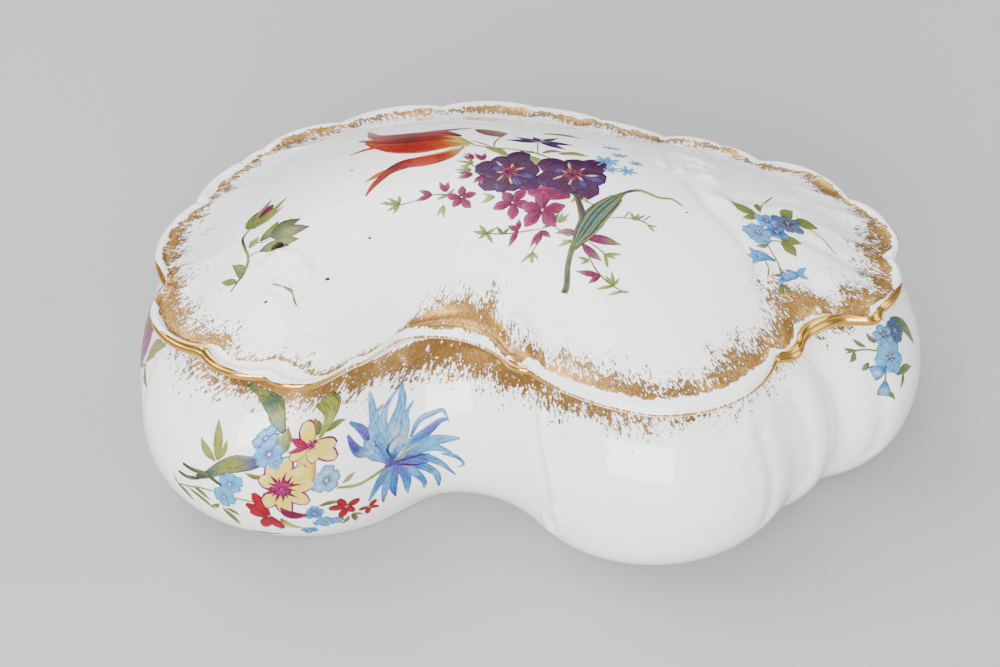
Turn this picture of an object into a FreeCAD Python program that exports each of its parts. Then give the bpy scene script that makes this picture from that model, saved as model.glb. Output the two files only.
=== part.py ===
"""Lobed porcelain trinket box with a loose scalloped lid, as a FreeCAD document.

Frame: +X along the length, -Y towards the front, where the lid has its bay, +Z up, and the origin on the
table under the middle of the bounding box. All lengths are in millimetres.

The box is two fired pieces. The base is a hollow bulging body with a planar mouth rim and a ground foot
ring. The lid is a domed shell with a fluted brim, and a flange under it drops into the base's mouth.

Both are drawn about a pole, a vertical axis through the top of the dome: every horizontal outline is a
radius for each direction round that pole.
"""

import FreeCAD, Part
import math
import os

doc = FreeCAD.newDocument("TrinketBox")

# Driving dimensions ----------------------------------------------------------------------------------

sheet = doc.addObject("Spreadsheet::Sheet", "Dimensions")
DRIVING = [
    ("pole_x", -0.42, "pole, along X from the middle of the box"),
    ("pole_y", 11.28, "pole, along Y from the middle of the box"),
    ("base_height", 50.0, "foot to mouth rim"),
    ("body_wall", 3.4, "thickness of the base's wall and floor"),
    ("foot_inset", 17.0, "belly to the outer edge of the foot ring"),
    ("mouth_inset", 4.5, "lid's edge to the outer edge of the mouth rim"),
    ("rim_width", 3.5, "width of the flat mouth rim, from its outer edge to the bore"),
    ("foot_width", 4.5, "width of the ground foot ring"),
    ("foot_recess", 1.8, "depth of the recess inside the foot ring"),
    ("seat_gap", 0.1, "air between the mouth rim and the lid's seat"),
    ("lid_edge", 2.0, "thickness of the lid at its scalloped edge"),
    ("lid_crown", 23.0, "rise of the dome above the lid's edge"),
    ("lid_wall", 3.2, "thickness of the dome"),
    ("flange_gap", 1.0, "clearance round the lid's locating flange"),
    ("flange_wall", 2.6, "thickness of the flange"),
    ("flange_drop", 6.0, "depth of the flange below the mouth rim"),
]
for row, (alias, value, note) in enumerate(DRIVING, start=1):
    sheet.set(f"A{row}", note)
    sheet.set(f"B{row}", str(value))
    sheet.setAlias(f"B{row}", alias)
doc.recompute()


def size(alias):
    """A driving dimension as the sheet holds it."""
    return float(sheet.get(alias))


def bind(obj, prop, expression):
    """Binds a property to the sheet, whose aliases stand bare in the expression."""
    for alias, _, _ in sorted(DRIVING, key=lambda entry: -len(entry[0])):
        expression = expression.replace(alias, f"<<Dimensions>>.{alias}")
    obj.setExpression(prop, expression)


# Outlines --------------------------------------------------------------------------------------------

# Corners (x, y) from the pole, counter-clockwise from the right end, each with the bulge of the arc that
# follows it: how far the arc's middle stands out from its chord, or in from it if negative.
LID_EDGE = [
    (91.2, -13.0, 2.3), (91.3, 2.5, 1.8), (82.5, 13.0, 1.0), (75.7, 24.8, 1.9),
    (60.7, 30.6, 1.2), (50.9, 38.2, 1.9), (36.2, 42.3, 0.9), (19.3, 50.8, 1.2),
    (1.0, 57.2, 2.9), (-23.8, 57.3, 3.6), (-50.6, 49.2, 3.3), (-70.7, 36.7, 0.6),
    (-76.2, 30.3, 2.0), (-86.3, 11.3, 5.7), (-90.5, -24.6, 7.3), (-79.5, -52.0, 3.2),
    (-63.5, -61.0, 5.2), (-46.2, -59.0, 2.4), (-39.8, -52.6, -9.2), (-6.3, -55.0, 1.0),
    (-0.3, -59.0, 2.4), (28.0, -75.2, 7.1), (59.6, -54.4, 1.6), (66.2, -50.0, -4.8),
    (83.2, -39.9, 1.3), (86.3, -34.9, 3.6),
]
BELLY = [
    (95.5, -36.0, 7.0), (89.5, 10.0, 4.5), (62.0, 35.0, 4.0), (20.0, 55.0, 4.0),
    (-27.0, 60.0, 4.5), (-70.0, 40.5, 5.0), (-94.5, 2.0, 3.0), (-97.0, -37.0, 21.5),
    (-39.0, -62.0, -8.5), (3.0, -70.0, 18.3), (65.0, -62.5, 3.0), (75.5, -48.0, 3.6),
]
BODY_POLES, LID_POLES = 144, 240
ARC_STEPS = 40


def arc(start, end, bulge):
    """Points on the arc from start to end, without its end."""
    (x0, y0), (x1, y1) = start, end
    chord = math.hypot(x1 - x0, y1 - y0)
    ux, uy = (x1 - x0) / chord, (y1 - y0) / chord
    radius = (chord * chord / 4 + bulge * bulge) / (2 * abs(bulge))
    half = 2 * math.atan(2 * abs(bulge) / chord)
    side = math.copysign(1.0, bulge)
    points = []
    for step in range(ARC_STEPS):
        turn = half * (2 * step / ARC_STEPS - 1)
        along = chord / 2 + radius * math.sin(turn)
        out = side * (radius * math.cos(turn) - radius * math.cos(half))
        points.append((x0 + ux * along + uy * out, y0 + uy * along - ux * out))
    return points


def outline(corners, count):
    """The outline's radius at count even directions round the pole, from direction +X."""
    points = []
    for here, after in zip(corners, corners[1:] + corners[:1]):
        points += arc(here[:2], after[:2], here[2])
    polar = sorted((math.atan2(y, x) % math.tau, math.hypot(x, y)) for x, y in points)
    first, last = polar[0], polar[-1]
    polar = [(last[0] - math.tau, last[1])] + polar + [(first[0] + math.tau, first[1])]
    radii, k = [], 0
    for n in range(count):
        angle = math.tau * n / count
        while polar[k + 1][0] < angle:
            k += 1
        (a0, r0), (a1, r1) = polar[k], polar[k + 1]
        radii.append(r0 + (r1 - r0) * (angle - a0) / max(a1 - a0, 1e-9))
    return radii


def softened(values, spread_deg):
    """A ring of values averaged over a bell of that spread."""
    count = len(values)
    reach = max(1, round(3 * spread_deg * count / 360))
    weights = [
        math.exp(-0.5 * (k * 360 / count / spread_deg) ** 2) for k in range(-reach, reach + 1)
    ]
    total = sum(weights)
    return [
        sum(w * values[(n + k) % count] for w, k in zip(weights, range(-reach, reach + 1))) / total
        for n in range(count)
    ]


def ring(radii, height):
    """Control points of one outline round the pole. The height is one number, or one for each direction."""
    count = len(radii)
    points = []
    for n in range(count):
        angle = math.tau * n / count
        level = height[n] if isinstance(height, list) else height
        points.append(FreeCAD.Vector(radii[n] * math.cos(angle), radii[n] * math.sin(angle), level))
    return points


def skin(rings):
    """A smooth surface that is closed round the pole and runs from the first ring to the last."""
    around, along = len(rings[0]), len(rings)
    inner_knots = along - 4
    surface = Part.BSplineSurface()
    surface.buildFromPolesMultsKnots(
        [[one_ring[n] for one_ring in rings] for n in range(around)],
        [1] * (around + 1),
        [4] + [1] * inner_knots + [4],
        [float(knot) for knot in range(around + 1)],
        [float(knot) for knot in range(inner_knots + 2)],
        True,
        False,
        3,
        3,
    )
    return surface


def closed_solid(surface):
    """The solid inside a skin, with flat faces across whichever of its ends are open."""
    faces = [surface.toShape()]
    first, last = surface.bounds()[2:]
    for end in (first, last):
        edge = surface.vIso(end).toShape()
        if edge.Length > 1:
            faces.append(Part.Face(Part.Wire([edge])))
    shell = Part.Shell(faces)
    if len(faces) > 1:
        shell.sewShape()
    solid = Part.Solid(shell)
    if solid.Volume < 0:
        solid.reverse()
    return solid


def skinned(name, rings):
    """A document object for the solid inside the rings, standing at the pole."""
    solid = doc.addObject("Part::Feature", name)
    solid.Shape = closed_solid(skin(rings))
    bind(solid, "Placement.Base.x", "pole_x")
    bind(solid, "Placement.Base.y", "pole_y")
    return solid


def prism(name, radii, bottom, length):
    """An upright solid on one outline, with its length bound to the sheet."""
    curve = Part.BSplineCurve()
    curve.buildFromPoles(ring(radii, 0.0), True, 3)
    profile = doc.addObject("Part::Feature", f"{name}_outline")
    profile.Shape = Part.Wire([curve.toShape()])
    bind(profile, "Placement.Base.x", "pole_x")
    bind(profile, "Placement.Base.y", "pole_y")
    bind(profile, "Placement.Base.z", bottom)
    solid = doc.addObject("Part::Extrusion", name)
    solid.Base = profile
    solid.DirMode = "Custom"
    solid.Dir = FreeCAD.Vector(0, 0, 1)
    solid.Solid = True
    bind(solid, "LengthFwd", length)
    return solid


# Base ------------------------------------------------------------------------------------------------

belly = softened(outline(BELLY, BODY_POLES), 1.2)
mouth = [r - size("mouth_inset") for r in softened(outline(LID_EDGE, BODY_POLES), 4.0)]

# The wall's section from foot to mouth: share of the base's height, share of the foot's inset, and share of
# the way from the belly to the mouth.
WALL_SECTION = [
    (0.000, 1.00, 0.00), (0.020, 0.88, 0.00), (0.070, 0.66, 0.00), (0.150, 0.35, 0.00),
    (0.270, 0.13, 0.00), (0.400, 0.03, 0.00), (0.540, 0.00, 0.02), (0.670, 0.00, 0.12),
    (0.780, 0.00, 0.30), (0.870, 0.00, 0.52), (0.940, 0.00, 0.76), (0.980, 0.00, 0.93),
    (1.000, 0.00, 1.00),
]
height, wall = size("base_height"), size("body_wall")


def body_radii(foot_share, mouth_share, inset=0.0):
    """A level outline of the base's wall, from its shares of the foot's inset and of the way to the mouth."""
    foot_inset = size("foot_inset") * foot_share + inset
    return [b + (m - b) * mouth_share - foot_inset for b, m in zip(belly, mouth)]


outer_radii = [body_radii(foot_share, mouth_share) for _, foot_share, mouth_share in WALL_SECTION]
outer_heights = [share * height for share, _, _ in WALL_SECTION]
outer_rings = [ring(radii, level) for radii, level in zip(outer_radii, outer_heights)]
body_outer = skinned("body_outer", outer_rings)


def wall_inside_ring(k):
    """The wall's ring k moved in by the wall's thickness, square to the wall."""
    radii, levels = [], []
    rise = outer_heights[k + 1] - outer_heights[k - 1]
    for n in range(BODY_POLES):
        run = outer_radii[k + 1][n] - outer_radii[k - 1][n]
        slant = math.hypot(rise, run)
        radii.append(outer_radii[k][n] - wall * rise / slant)
        levels.append(outer_heights[k] + wall * run / slant)
    return ring(radii, levels)


floor_top = size("foot_recess") + wall
bore = [m - size("rim_width") for m in mouth]
cavity_rings = [ring([0.0] * BODY_POLES, floor_top)]
cavity_rings += [ring([share * r for r in outer_radii[0]], floor_top) for share in (0.2, 0.6, 0.9)]
cavity_rings += [ring(body_radii(0.62, 0.0, wall), floor_top + 0.6)]
cavity_rings += [wall_inside_ring(k) for k in range(3, 10)]
cavity_rings += [ring(bore, height - drop) for drop in (3.2, 1.5, -1.0, -3.0)]
cavity = skinned("cavity", cavity_rings)

foot_radii = softened([r - size("foot_width") for r in outer_radii[0]], 2.0)
foot_hollow = prism("foot_hollow", foot_radii, "0", "foot_recess")

hollowed = doc.addObject("Part::Cut", "hollowed_body")
hollowed.Base = body_outer
hollowed.Tool = cavity
base = doc.addObject("Part::Cut", "base")
base.Base = hollowed
base.Tool = foot_hollow
base.Label = "base"

# Lid -------------------------------------------------------------------------------------------------

edge = softened(outline(LID_EDGE, LID_POLES), 0.7)
lid_mouth = [r - size("mouth_inset") for r in softened(outline(LID_EDGE, LID_POLES), 4.0)]
round_edge = softened(edge, 16.0)
directions = [math.tau * n / LID_POLES for n in range(LID_POLES)]
swell_rim = [(1.003 * r * math.cos(a), 1.003 * r * math.sin(a)) for r, a in zip(edge, directions)]

# Direction in degrees, width of the fluted brim, depth of the flutes, and how slowly the dome rises there.
BRIM = [
    (0, 28.0, 2.0, 1.75), (40, 18.0, 1.4, 1.90), (90, 13.0, 1.0, 2.30), (135, 18.0, 1.5, 1.90),
    (180, 28.0, 2.2, 1.70), (212, 24.0, 1.6, 1.50), (232, 12.0, 0.6, 1.30), (252, 7.0, 0.0, 1.15),
    (290, 7.0, 0.0, 1.15), (312, 8.0, 0.0, 1.20), (328, 14.0, 0.5, 1.40), (343, 24.0, 1.5, 1.60),
]


def brim_ring(column):
    """A column of BRIM as a softened ring of values."""
    table = BRIM + [(BRIM[0][0] + 360,) + BRIM[0][1:]]
    values = []
    for n in range(LID_POLES):
        angle = 360 * n / LID_POLES
        low, high = next((a, b) for a, b in zip(table, table[1:]) if a[0] <= angle <= b[0])
        share = (angle - low[0]) / (high[0] - low[0])
        values.append(low[column] + (high[column] - low[column]) * share)
    return softened(values, 7.0)


brim_width, flute_depth, rise_power = brim_ring(1), brim_ring(2), brim_ring(3)


def across_scallop():
    """How far each direction lies across its scallop, from 0 at one corner to 1 at the next."""
    corners = sorted(math.atan2(y, x) % math.tau for x, y, _ in LID_EDGE)
    corners = [corners[-1] - math.tau] + corners + [corners[0] + math.tau]
    shares = []
    for angle in directions:
        low, high = next((a, b) for a, b in zip(corners, corners[1:]) if a <= angle <= b)
        shares.append((angle - low) / (high - low))
    return shares


scallop_share = across_scallop()


def swell(x, y):
    """How far a point lies inside the lid's edge, averaged over every direction: 0 on it, smooth inside it."""
    total = 0.0
    x0, y0 = swell_rim[-1][0] - x, swell_rim[-1][1] - y
    reach0 = math.hypot(x0, y0)
    for corner_x, corner_y in swell_rim:
        x1, y1 = corner_x - x, corner_y - y
        reach1 = math.hypot(x1, y1)
        cross = x0 * y1 - y0 * x1
        if abs(cross) > 1e-9:
            total += (reach0 * reach1 - x0 * x1 - y0 * y1) / cross * (1 / reach0 + 1 / reach1)
        x0, y0, reach0 = x1, y1, reach1
    return 2 / total


crown_swell = swell(0.0, 0.0)


def lid_rise(n, radius):
    """The top face's height above the lid's edge, in direction n, at a radius from the pole."""
    inside = swell(radius * math.cos(directions[n]), radius * math.sin(directions[n]))
    rise = size("lid_crown") * max(inside / crown_swell, 0.0) ** rise_power[n]
    from_lip = min(max((edge[n] - radius) / brim_width[n], 0.0), 1.0)
    flute = math.sin(math.pi * scallop_share[n]) ** 0.8 * math.sin(math.pi * (from_lip + 0.22) / 1.22) ** 2
    return rise - flute_depth[n] * flute * min(from_lip / 0.1, 1.0)


def lid_radii(share):
    """The lid's outline at a share of the way out: lobed at the edge and rounder towards the crown."""
    return [share * (even + (lobed - even) * share**2.5) for lobed, even in zip(edge, round_edge)]


seat = size("base_height") + size("seat_gap")
edge_top = seat + size("lid_edge")


def lid_ring(share, drop=0.0):
    """A ring of the lid's top face."""
    radii = lid_radii(share)
    heights = [max(edge_top + lid_rise(n, r) - drop, seat + 0.6) for n, r in enumerate(radii)]
    return ring(radii, heights)


TOP_SHARES = [1.0, 0.975, 0.945, 0.91, 0.87, 0.82, 0.76, 0.69, 0.61, 0.52, 0.42, 0.32, 0.22, 0.12, 0.05]
lid_rings = [ring([0.985 * r for r in edge], seat), ring([0.997 * r for r in edge], seat)]
lid_rings += [ring([1.004 * r for r in edge], seat + size("lid_edge") / 2)]
lid_rings += [lid_ring(share) for share in TOP_SHARES]
lid_rings += [ring([0.0] * LID_POLES, edge_top + size("lid_crown"))]
lid_block = skinned("lid_block", lid_rings)

flange_radii = [m - size("rim_width") - size("flange_gap") for m in lid_mouth]
flange = prism("flange", flange_radii, "base_height - flange_drop", "flange_drop + seat_gap + 1")
flange_bottom = size("base_height") - size("flange_drop")

hollow_radii = [r - size("flange_wall") for r in flange_radii]
hollow_share = sum(hollow_radii) / sum(edge)
HOLLOW_SHARES = [0.97, 0.92, 0.84, 0.74, 0.62, 0.5, 0.38, 0.26, 0.14, 0.05]


def hollow_ring(share):
    """A ring of the dome's underside, a wall's thickness below its top face."""
    radii, heights = [], []
    thickness = size("lid_wall") * (1 + 0.8 * share**6)
    for n, outer in enumerate(hollow_radii):
        even = round_edge[n] * hollow_share
        radii.append(share * (even + (outer - even) * share**2.5))
        heights.append(edge_top + lid_rise(n, radii[-1]) - thickness)
    return ring(radii, heights)


hollow_top = edge_top + size("lid_crown") - size("lid_wall")
hollow_rings = [ring(hollow_radii, flange_bottom - 2 + step) for step in (0.0, 2.0, 4.0, 6.0)]
hollow_rings += [hollow_ring(share) for share in HOLLOW_SHARES]
hollow_rings += [ring([0.0] * LID_POLES, hollow_top)]
lid_hollow = skinned("lid_hollow", hollow_rings)

flanged = doc.addObject("Part::Fuse", "flanged_lid")
flanged.Base = lid_block
flanged.Tool = flange
lid = doc.addObject("Part::Cut", "lid")
lid.Base = flanged
lid.Tool = lid_hollow
lid.Label = "lid"

# Build, check and write ------------------------------------------------------------------------------

doc.recompute()
for obj in doc.Objects:
    if "Invalid" in obj.State or "Error" in obj.State:
        raise RuntimeError(f"{obj.Name} failed: {obj.State}")

os.makedirs("parts", exist_ok=True)
whole = FreeCAD.BoundBox()
for part in (base, lid):
    shape = part.Shape
    if shape.isNull() or not shape.isValid() or len(shape.Solids) != 1:
        raise RuntimeError(f"{part.Label} isn't one valid solid: it has {len(shape.Solids)}")
    whole.add(shape.optimalBoundingBox())
    print(part.Label, "volume", round(shape.Volume), "faces", len(shape.Faces), shape.optimalBoundingBox())
    shape.exportStep(f"parts/{part.Label}.step")
print("whole", whole, "centre", whole.Center)
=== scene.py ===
import math

import bpy
import numpy as np
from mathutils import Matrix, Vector


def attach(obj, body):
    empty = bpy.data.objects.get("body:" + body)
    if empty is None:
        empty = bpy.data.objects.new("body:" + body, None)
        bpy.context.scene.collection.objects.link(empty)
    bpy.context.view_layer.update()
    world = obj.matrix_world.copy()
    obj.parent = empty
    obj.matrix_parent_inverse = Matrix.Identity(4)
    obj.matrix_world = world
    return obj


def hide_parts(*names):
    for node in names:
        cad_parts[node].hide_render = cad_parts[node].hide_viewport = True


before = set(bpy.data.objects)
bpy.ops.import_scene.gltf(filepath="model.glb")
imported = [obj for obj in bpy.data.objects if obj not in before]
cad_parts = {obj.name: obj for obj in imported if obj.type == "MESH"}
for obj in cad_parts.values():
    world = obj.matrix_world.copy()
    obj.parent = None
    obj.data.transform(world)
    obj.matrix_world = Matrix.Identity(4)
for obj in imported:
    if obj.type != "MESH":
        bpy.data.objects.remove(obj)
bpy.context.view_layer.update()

MM = 0.001


# ---- Base body ---------------------------------------------------------------------------------
# One hollow porcelain casting: a bulging kidney-shaped wall in lobes, an inward mouth rim that the lid
# rests on, and a foot ring ground flat after firing. Clear gloss glaze all over but for the foot ring.
# Everything is drawn about a pole, the upright axis through the top of the dome, in millimetres.

POLE = np.array([-0.42, 11.28])
AROUND = 1080
BASE_HEIGHT = 50.0
FOOT_INSET = 17.0
MOUTH_INSET = 4.5
RIM_WIDTH = 3.5
FOOT_RING = 4.5
RECESS_HEIGHT = 1.8
WALL = 3.4
INNER_FLOOR = 5.2

# Corners (x, y) from the pole, counter-clockwise from the right end, each with the bulge of the arc that
# follows it: how far the arc's middle stands out from its chord, or in from it if negative.
LID_EDGE = [
    (91.2, -13.0, 2.3), (91.3, 2.5, 1.8), (82.5, 13.0, 1.0), (75.7, 24.8, 1.9),
    (60.7, 30.6, 1.2), (50.9, 38.2, 1.9), (36.2, 42.3, 0.9), (19.3, 50.8, 1.2),
    (1.0, 57.2, 2.9), (-23.8, 57.3, 3.6), (-50.6, 49.2, 3.3), (-70.7, 36.7, 0.6),
    (-76.2, 30.3, 2.0), (-86.3, 11.3, 5.7), (-90.5, -24.6, 7.3), (-79.5, -52.0, 3.2),
    (-63.5, -61.0, 5.2), (-46.2, -59.0, 2.4), (-39.8, -52.6, -9.2), (-6.3, -55.0, 1.0),
    (-0.3, -59.0, 2.4), (28.0, -75.2, 7.1), (59.6, -54.4, 1.6), (66.2, -50.0, -4.8),
    (83.2, -39.9, 1.3), (86.3, -34.9, 3.6),
]
BELLY = [
    (95.5, -36.0, 7.0), (89.5, 10.0, 4.5), (62.0, 35.0, 4.0), (20.0, 55.0, 4.0),
    (-27.0, 60.0, 4.5), (-70.0, 40.5, 5.0), (-94.5, 2.0, 3.0), (-97.0, -37.0, 21.5),
    (-39.0, -62.0, -8.5), (3.0, -70.0, 18.3), (65.0, -62.5, 3.0), (75.5, -48.0, 3.6),
]
directions = np.arange(AROUND) * math.tau / AROUND
compass = np.stack([np.cos(directions), np.sin(directions)], 1)


def arc(start, end, bulge, steps=60):
    """Points on the arc from start to end, without its end."""
    start, end = np.array(start, float), np.array(end, float)
    chord = np.linalg.norm(end - start)
    along = (end - start) / chord
    outward = np.array([along[1], -along[0]])
    radius = (chord**2 / 4 + bulge**2) / (2 * abs(bulge))
    half = 2 * math.atan(2 * abs(bulge) / chord)
    turn = half * (2 * np.arange(steps) / steps - 1)
    run = chord / 2 + radius * np.sin(turn)
    rise = math.copysign(1, bulge) * radius * (np.cos(turn) - math.cos(half))
    return start + run[:, None] * along + rise[:, None] * outward


def softened(values, spread_deg):
    """A ring of values averaged over a bell of that spread."""
    reach = int(3 * spread_deg * AROUND / 360) + 1
    steps = np.arange(-reach, reach + 1)
    weights = np.exp(-0.5 * (steps * 360 / AROUND / spread_deg) ** 2)
    return sum(w * np.roll(values, -k) for w, k in zip(weights / weights.sum(), steps))


def outline(corners, spread_deg):
    """The radius of a lobed outline in every direction from the pole."""
    points = np.concatenate([
        arc(here[:2], after[:2], here[2]) for here, after in zip(corners, corners[1:] + corners[:1])
    ])
    angles = np.arctan2(points[:, 1], points[:, 0]) % math.tau
    order = np.argsort(angles)
    radii = np.interp(directions, angles[order], np.hypot(*points[order].T), period=math.tau)
    return softened(radii, spread_deg)


belly = outline(BELLY, 1.2)
lid_outline = outline(LID_EDGE, 0.55)
mouth = outline(LID_EDGE, 4.0) - MOUTH_INSET


def spline_rows(controls, share):
    """A cubic spline through rows of control values, read at shares of its length from 0 to 1."""
    controls = np.array(controls, float)
    count = len(controls)
    knots = np.concatenate([[0] * 3, np.arange(count - 2), [count - 3] * 3]).astype(float)
    place = np.clip(np.asarray(share) * (count - 3), 0, count - 3 - 1e-9)
    weights = [((knots[i] <= place) & (place < knots[i + 1])).astype(float) for i in range(count + 3)]
    for degree in (1, 2, 3):
        raised = []
        for i in range(count + 3 - degree):
            left, right = knots[i + degree] - knots[i], knots[i + degree + 1] - knots[i + 1]
            value = 0
            if left:
                value = value + (place - knots[i]) / left * weights[i]
            if right:
                value = value + (knots[i + degree + 1] - place) / right * weights[i + 1]
            raised.append(value)
        weights = raised
    return np.tensordot(np.array(weights[:count]).T, controls, 1)


def section_shares(controls, stretches):
    """Shares that read a spline of rows at even steps along its mean section. Each stretch runs up to a
    control row and has its own step in millimetres."""
    fine = np.linspace(0, 1, 3000)
    section = spline_rows([(np.mean(radii), np.mean(levels)) for radii, levels in controls], fine)
    run = np.concatenate([[0], np.cumsum(np.linalg.norm(np.diff(section, axis=0), axis=1))])
    shares, start = [], 0.0
    for row, step in stretches:
        end = np.interp(row / (len(controls) - 1), fine, run)
        shares.append(np.arange(start, end, step))
        start = shares[-1][-1] + step
    return np.interp(np.concatenate(shares + [[run[-1]]]), run, fine)


def placed(radii, levels):
    """Rows of radii and heights as points, in millimetres about the box's middle."""
    flat = POLE + radii[..., None] * compass
    return np.concatenate([flat, np.broadcast_to(levels, radii.shape)[..., None]], -1)


def row_normals(grid):
    """Outward unit normals on rows of points that run up the outside of a piece."""
    around = np.roll(grid, -1, 1) - np.roll(grid, 1, 1)
    along = np.gradient(grid, axis=0)
    normal = np.cross(around, along)
    return normal / np.maximum(np.linalg.norm(normal, axis=2, keepdims=True), 1e-12)


def closed_mesh(name, grid, attributes):
    """A closed mesh from rows of points, with a fan at each end, and point attributes given as rows."""
    rows = len(grid)
    ends = [grid[0].mean(0), grid[-1].mean(0)]
    points = np.concatenate([grid.reshape(-1, 3), ends]) * MM
    index = np.arange(rows * AROUND).reshape(rows, AROUND)
    after = np.roll(index, -1, 1)
    quads = np.stack([index[:-1], after[:-1], after[1:], index[1:]], -1).reshape(-1, 4)
    first, last = rows * AROUND, rows * AROUND + 1
    fans = [(first, b, a) for a, b in zip(index[0], after[0])]
    fans += [(last, a, b) for a, b in zip(index[-1], after[-1])]
    mesh = bpy.data.meshes.new(name)
    mesh.from_pydata(points.tolist(), [], quads.tolist() + fans)
    for key, values in attributes.items():
        values = np.asarray(values, float)
        if values.ndim == 3:
            layer = mesh.attributes.new(key, "FLOAT_VECTOR", "POINT")
            flat = np.concatenate([values.reshape(-1, 3), values[[0, -1]].mean(1)])
            layer.data.foreach_set("vector", flat.ravel())
        else:
            layer = mesh.attributes.new(key, "FLOAT", "POINT")
            layer.data.foreach_set("value", np.concatenate([values.ravel(), values[[0, -1]].mean(1)]))
    mesh.shade_smooth()
    piece = bpy.data.objects.new(name, mesh)
    bpy.context.scene.collection.objects.link(piece)
    return piece


# Share of the base's height, share of the foot's inset, and share of the way from belly to mouth.
WALL_SECTION = [
    (0.000, 1.00, 0.00), (0.020, 0.88, 0.00), (0.070, 0.66, 0.00), (0.150, 0.35, 0.00),
    (0.270, 0.13, 0.00), (0.400, 0.03, 0.00), (0.540, 0.00, 0.02), (0.670, 0.00, 0.12),
    (0.780, 0.00, 0.30), (0.870, 0.00, 0.52), (0.940, 0.00, 0.76), (0.980, 0.00, 0.93),
    (1.000, 0.00, 1.00),
]


def wall_row(height_share, foot_share, mouth_share, wall=0.0, sink=0.0):
    """A control row of the base's wall, or of its inside a wall's thickness further in."""
    radii = belly + (mouth - belly) * mouth_share - FOOT_INSET * foot_share - wall
    return radii, np.full(AROUND, height_share * BASE_HEIGHT - sink)


foot = belly - FOOT_INSET
foot_inner = softened(foot - FOOT_RING, 2.0)
bore = mouth - RIM_WIDTH


def flat_row(radii, height):
    """A control row at one height."""
    return radii, np.full(AROUND, float(height))


# Control rows from the middle of the underside, out round the foot ring, up the wall, over the rim and down
# inside to the middle of the floor.
under_rows = [flat_row(foot_inner * share, RECESS_HEIGHT) for share in (0.02, 0.3, 0.6, 0.9)]
under_rows += [flat_row(foot_inner - 0.6, RECESS_HEIGHT)]
under_rows += [flat_row(foot_inner, RECESS_HEIGHT - 0.1), flat_row(foot_inner, 0.4)]
under_rows += [flat_row(foot_inner + outward, 0) for outward in (0.3, 1.2)]
under_rows += [flat_row(foot - inward, 0) for inward in (2.0, 0.8)]
outer_rows = [wall_row(*row) for row in WALL_SECTION]
rim_rows = [flat_row(mouth - inward, BASE_HEIGHT) for inward in (0.8, 1.8, RIM_WIDTH - 0.8, RIM_WIDTH)]
rim_rows += [flat_row(bore, height) for height in (49.2, 47.5, 46.5)]
sinks = (3.0, 2.6, 1.6, 0.8, 0.0, 0.0, -0.8)
inner_rows = [wall_row(*row, wall=WALL, sink=sink) for row, sink in zip(WALL_SECTION[9:2:-1], sinks)]
inner_rows += [flat_row(foot + 3.5, INNER_FLOOR + 0.6), flat_row(foot - 1.5, INNER_FLOOR)]
inner_rows += [flat_row(foot * share, INNER_FLOOR) for share in (0.9, 0.6, 0.3, 0.02)]
base_controls = under_rows + outer_rows + rim_rows + inner_rows
wall_start, wall_end = len(under_rows), len(under_rows + outer_rows)
base_shares = section_shares(
    base_controls, [(wall_start, 1.5), (wall_end + 2, 0.6), (wall_end + 7, 0.6), (len(base_controls), 2.5)]
)
base_radii, base_levels = np.moveaxis(spline_rows(base_controls, base_shares), 1, 0)
base_grid = placed(base_radii, base_levels)

# The outside of the wall, from foot to mouth, is the face that relief and painting lie on. A place on it is
# a run round the belly, in millimetres from direction +X, and a climb up the wall from the foot.
last_control = len(base_controls) - 1
on_wall = (base_shares > (wall_start - 0.5) / last_control) & (base_shares < (wall_end - 0.6) / last_control)
wall_rows = np.flatnonzero(on_wall)
belly_line = placed(belly, 0.0)
wall_run = np.concatenate([[0], np.cumsum(np.linalg.norm(np.diff(belly_line, axis=0), axis=1))])
climb_steps = np.linalg.norm(np.diff(base_grid[wall_rows], axis=0), axis=2).mean(1)
wall_climb = np.concatenate([[0], np.cumsum(climb_steps)])
wall_length = wall_climb[-1]


def bump_along(run, climb, points, width, height):
    """A raised moulding, rounded across, along a line of (run, climb) points on the wall."""
    nearest = np.full(np.broadcast(run, climb).shape, 1e9)
    for (r0, c0), (r1, c1) in zip(points, points[1:]):
        span = (r1 - r0) ** 2 + (c1 - c0) ** 2
        part = np.clip(((run - r0) * (r1 - r0) + (climb - c0) * (c1 - c0)) / span, 0, 1)
        nearest = np.minimum(nearest, np.hypot(run - r0 - part * (r1 - r0), climb - c0 - part * (c1 - c0)))
    return height * np.exp(-((nearest / width) ** 2))


# Moulded relief: the rib and its little scroll between the bay and the front lobe, and the pinched grooves.
run_map, climb_map = np.meshgrid(wall_run, wall_climb)
wall_relief = sum(bump_along(run_map, climb_map, points, width, height) for points, width, height in (
    ([(408.4, 51.0), (409.8, 44.0), (412.0, 38.0), (413.6, 30.0)], 1.9, 0.9),
    ([(404.6, 50.0), (405.6, 44.0), (408.0, 37.0), (410.0, 30.0)], 2.4, -0.5),
    ([(413.8, 26.0), (416.0, 22.0), (415.4, 16.0), (411.6, 15.0), (410.4, 19.0)], 1.3, 0.8),
    ([(413.0, 19.0), (413.0, 18.4)], 1.2, -0.5),
    ([(472.6, 22.0), (473.2, 34.0), (472.4, 46.0)], 2.4, -0.7),
    ([(488.6, 24.0), (489.2, 36.0), (488.4, 48.0)], 2.6, -0.8),
    ([(514.8, 20.0), (515.6, 33.0), (515.4, 46.0)], 2.6, -0.8),
    ([(286.6, 34.0), (286.6, 46.0)], 2.4, -0.8),
    ([(180.0, 18.0), (178.0, 44.0)], 2.6, -0.6),
    ([(60.0, 18.0), (62.0, 44.0)], 2.6, -0.6),
))
base_grid[wall_rows] += wall_relief[..., None] * row_normals(base_grid)[wall_rows]
base_normals = row_normals(base_grid)


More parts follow.
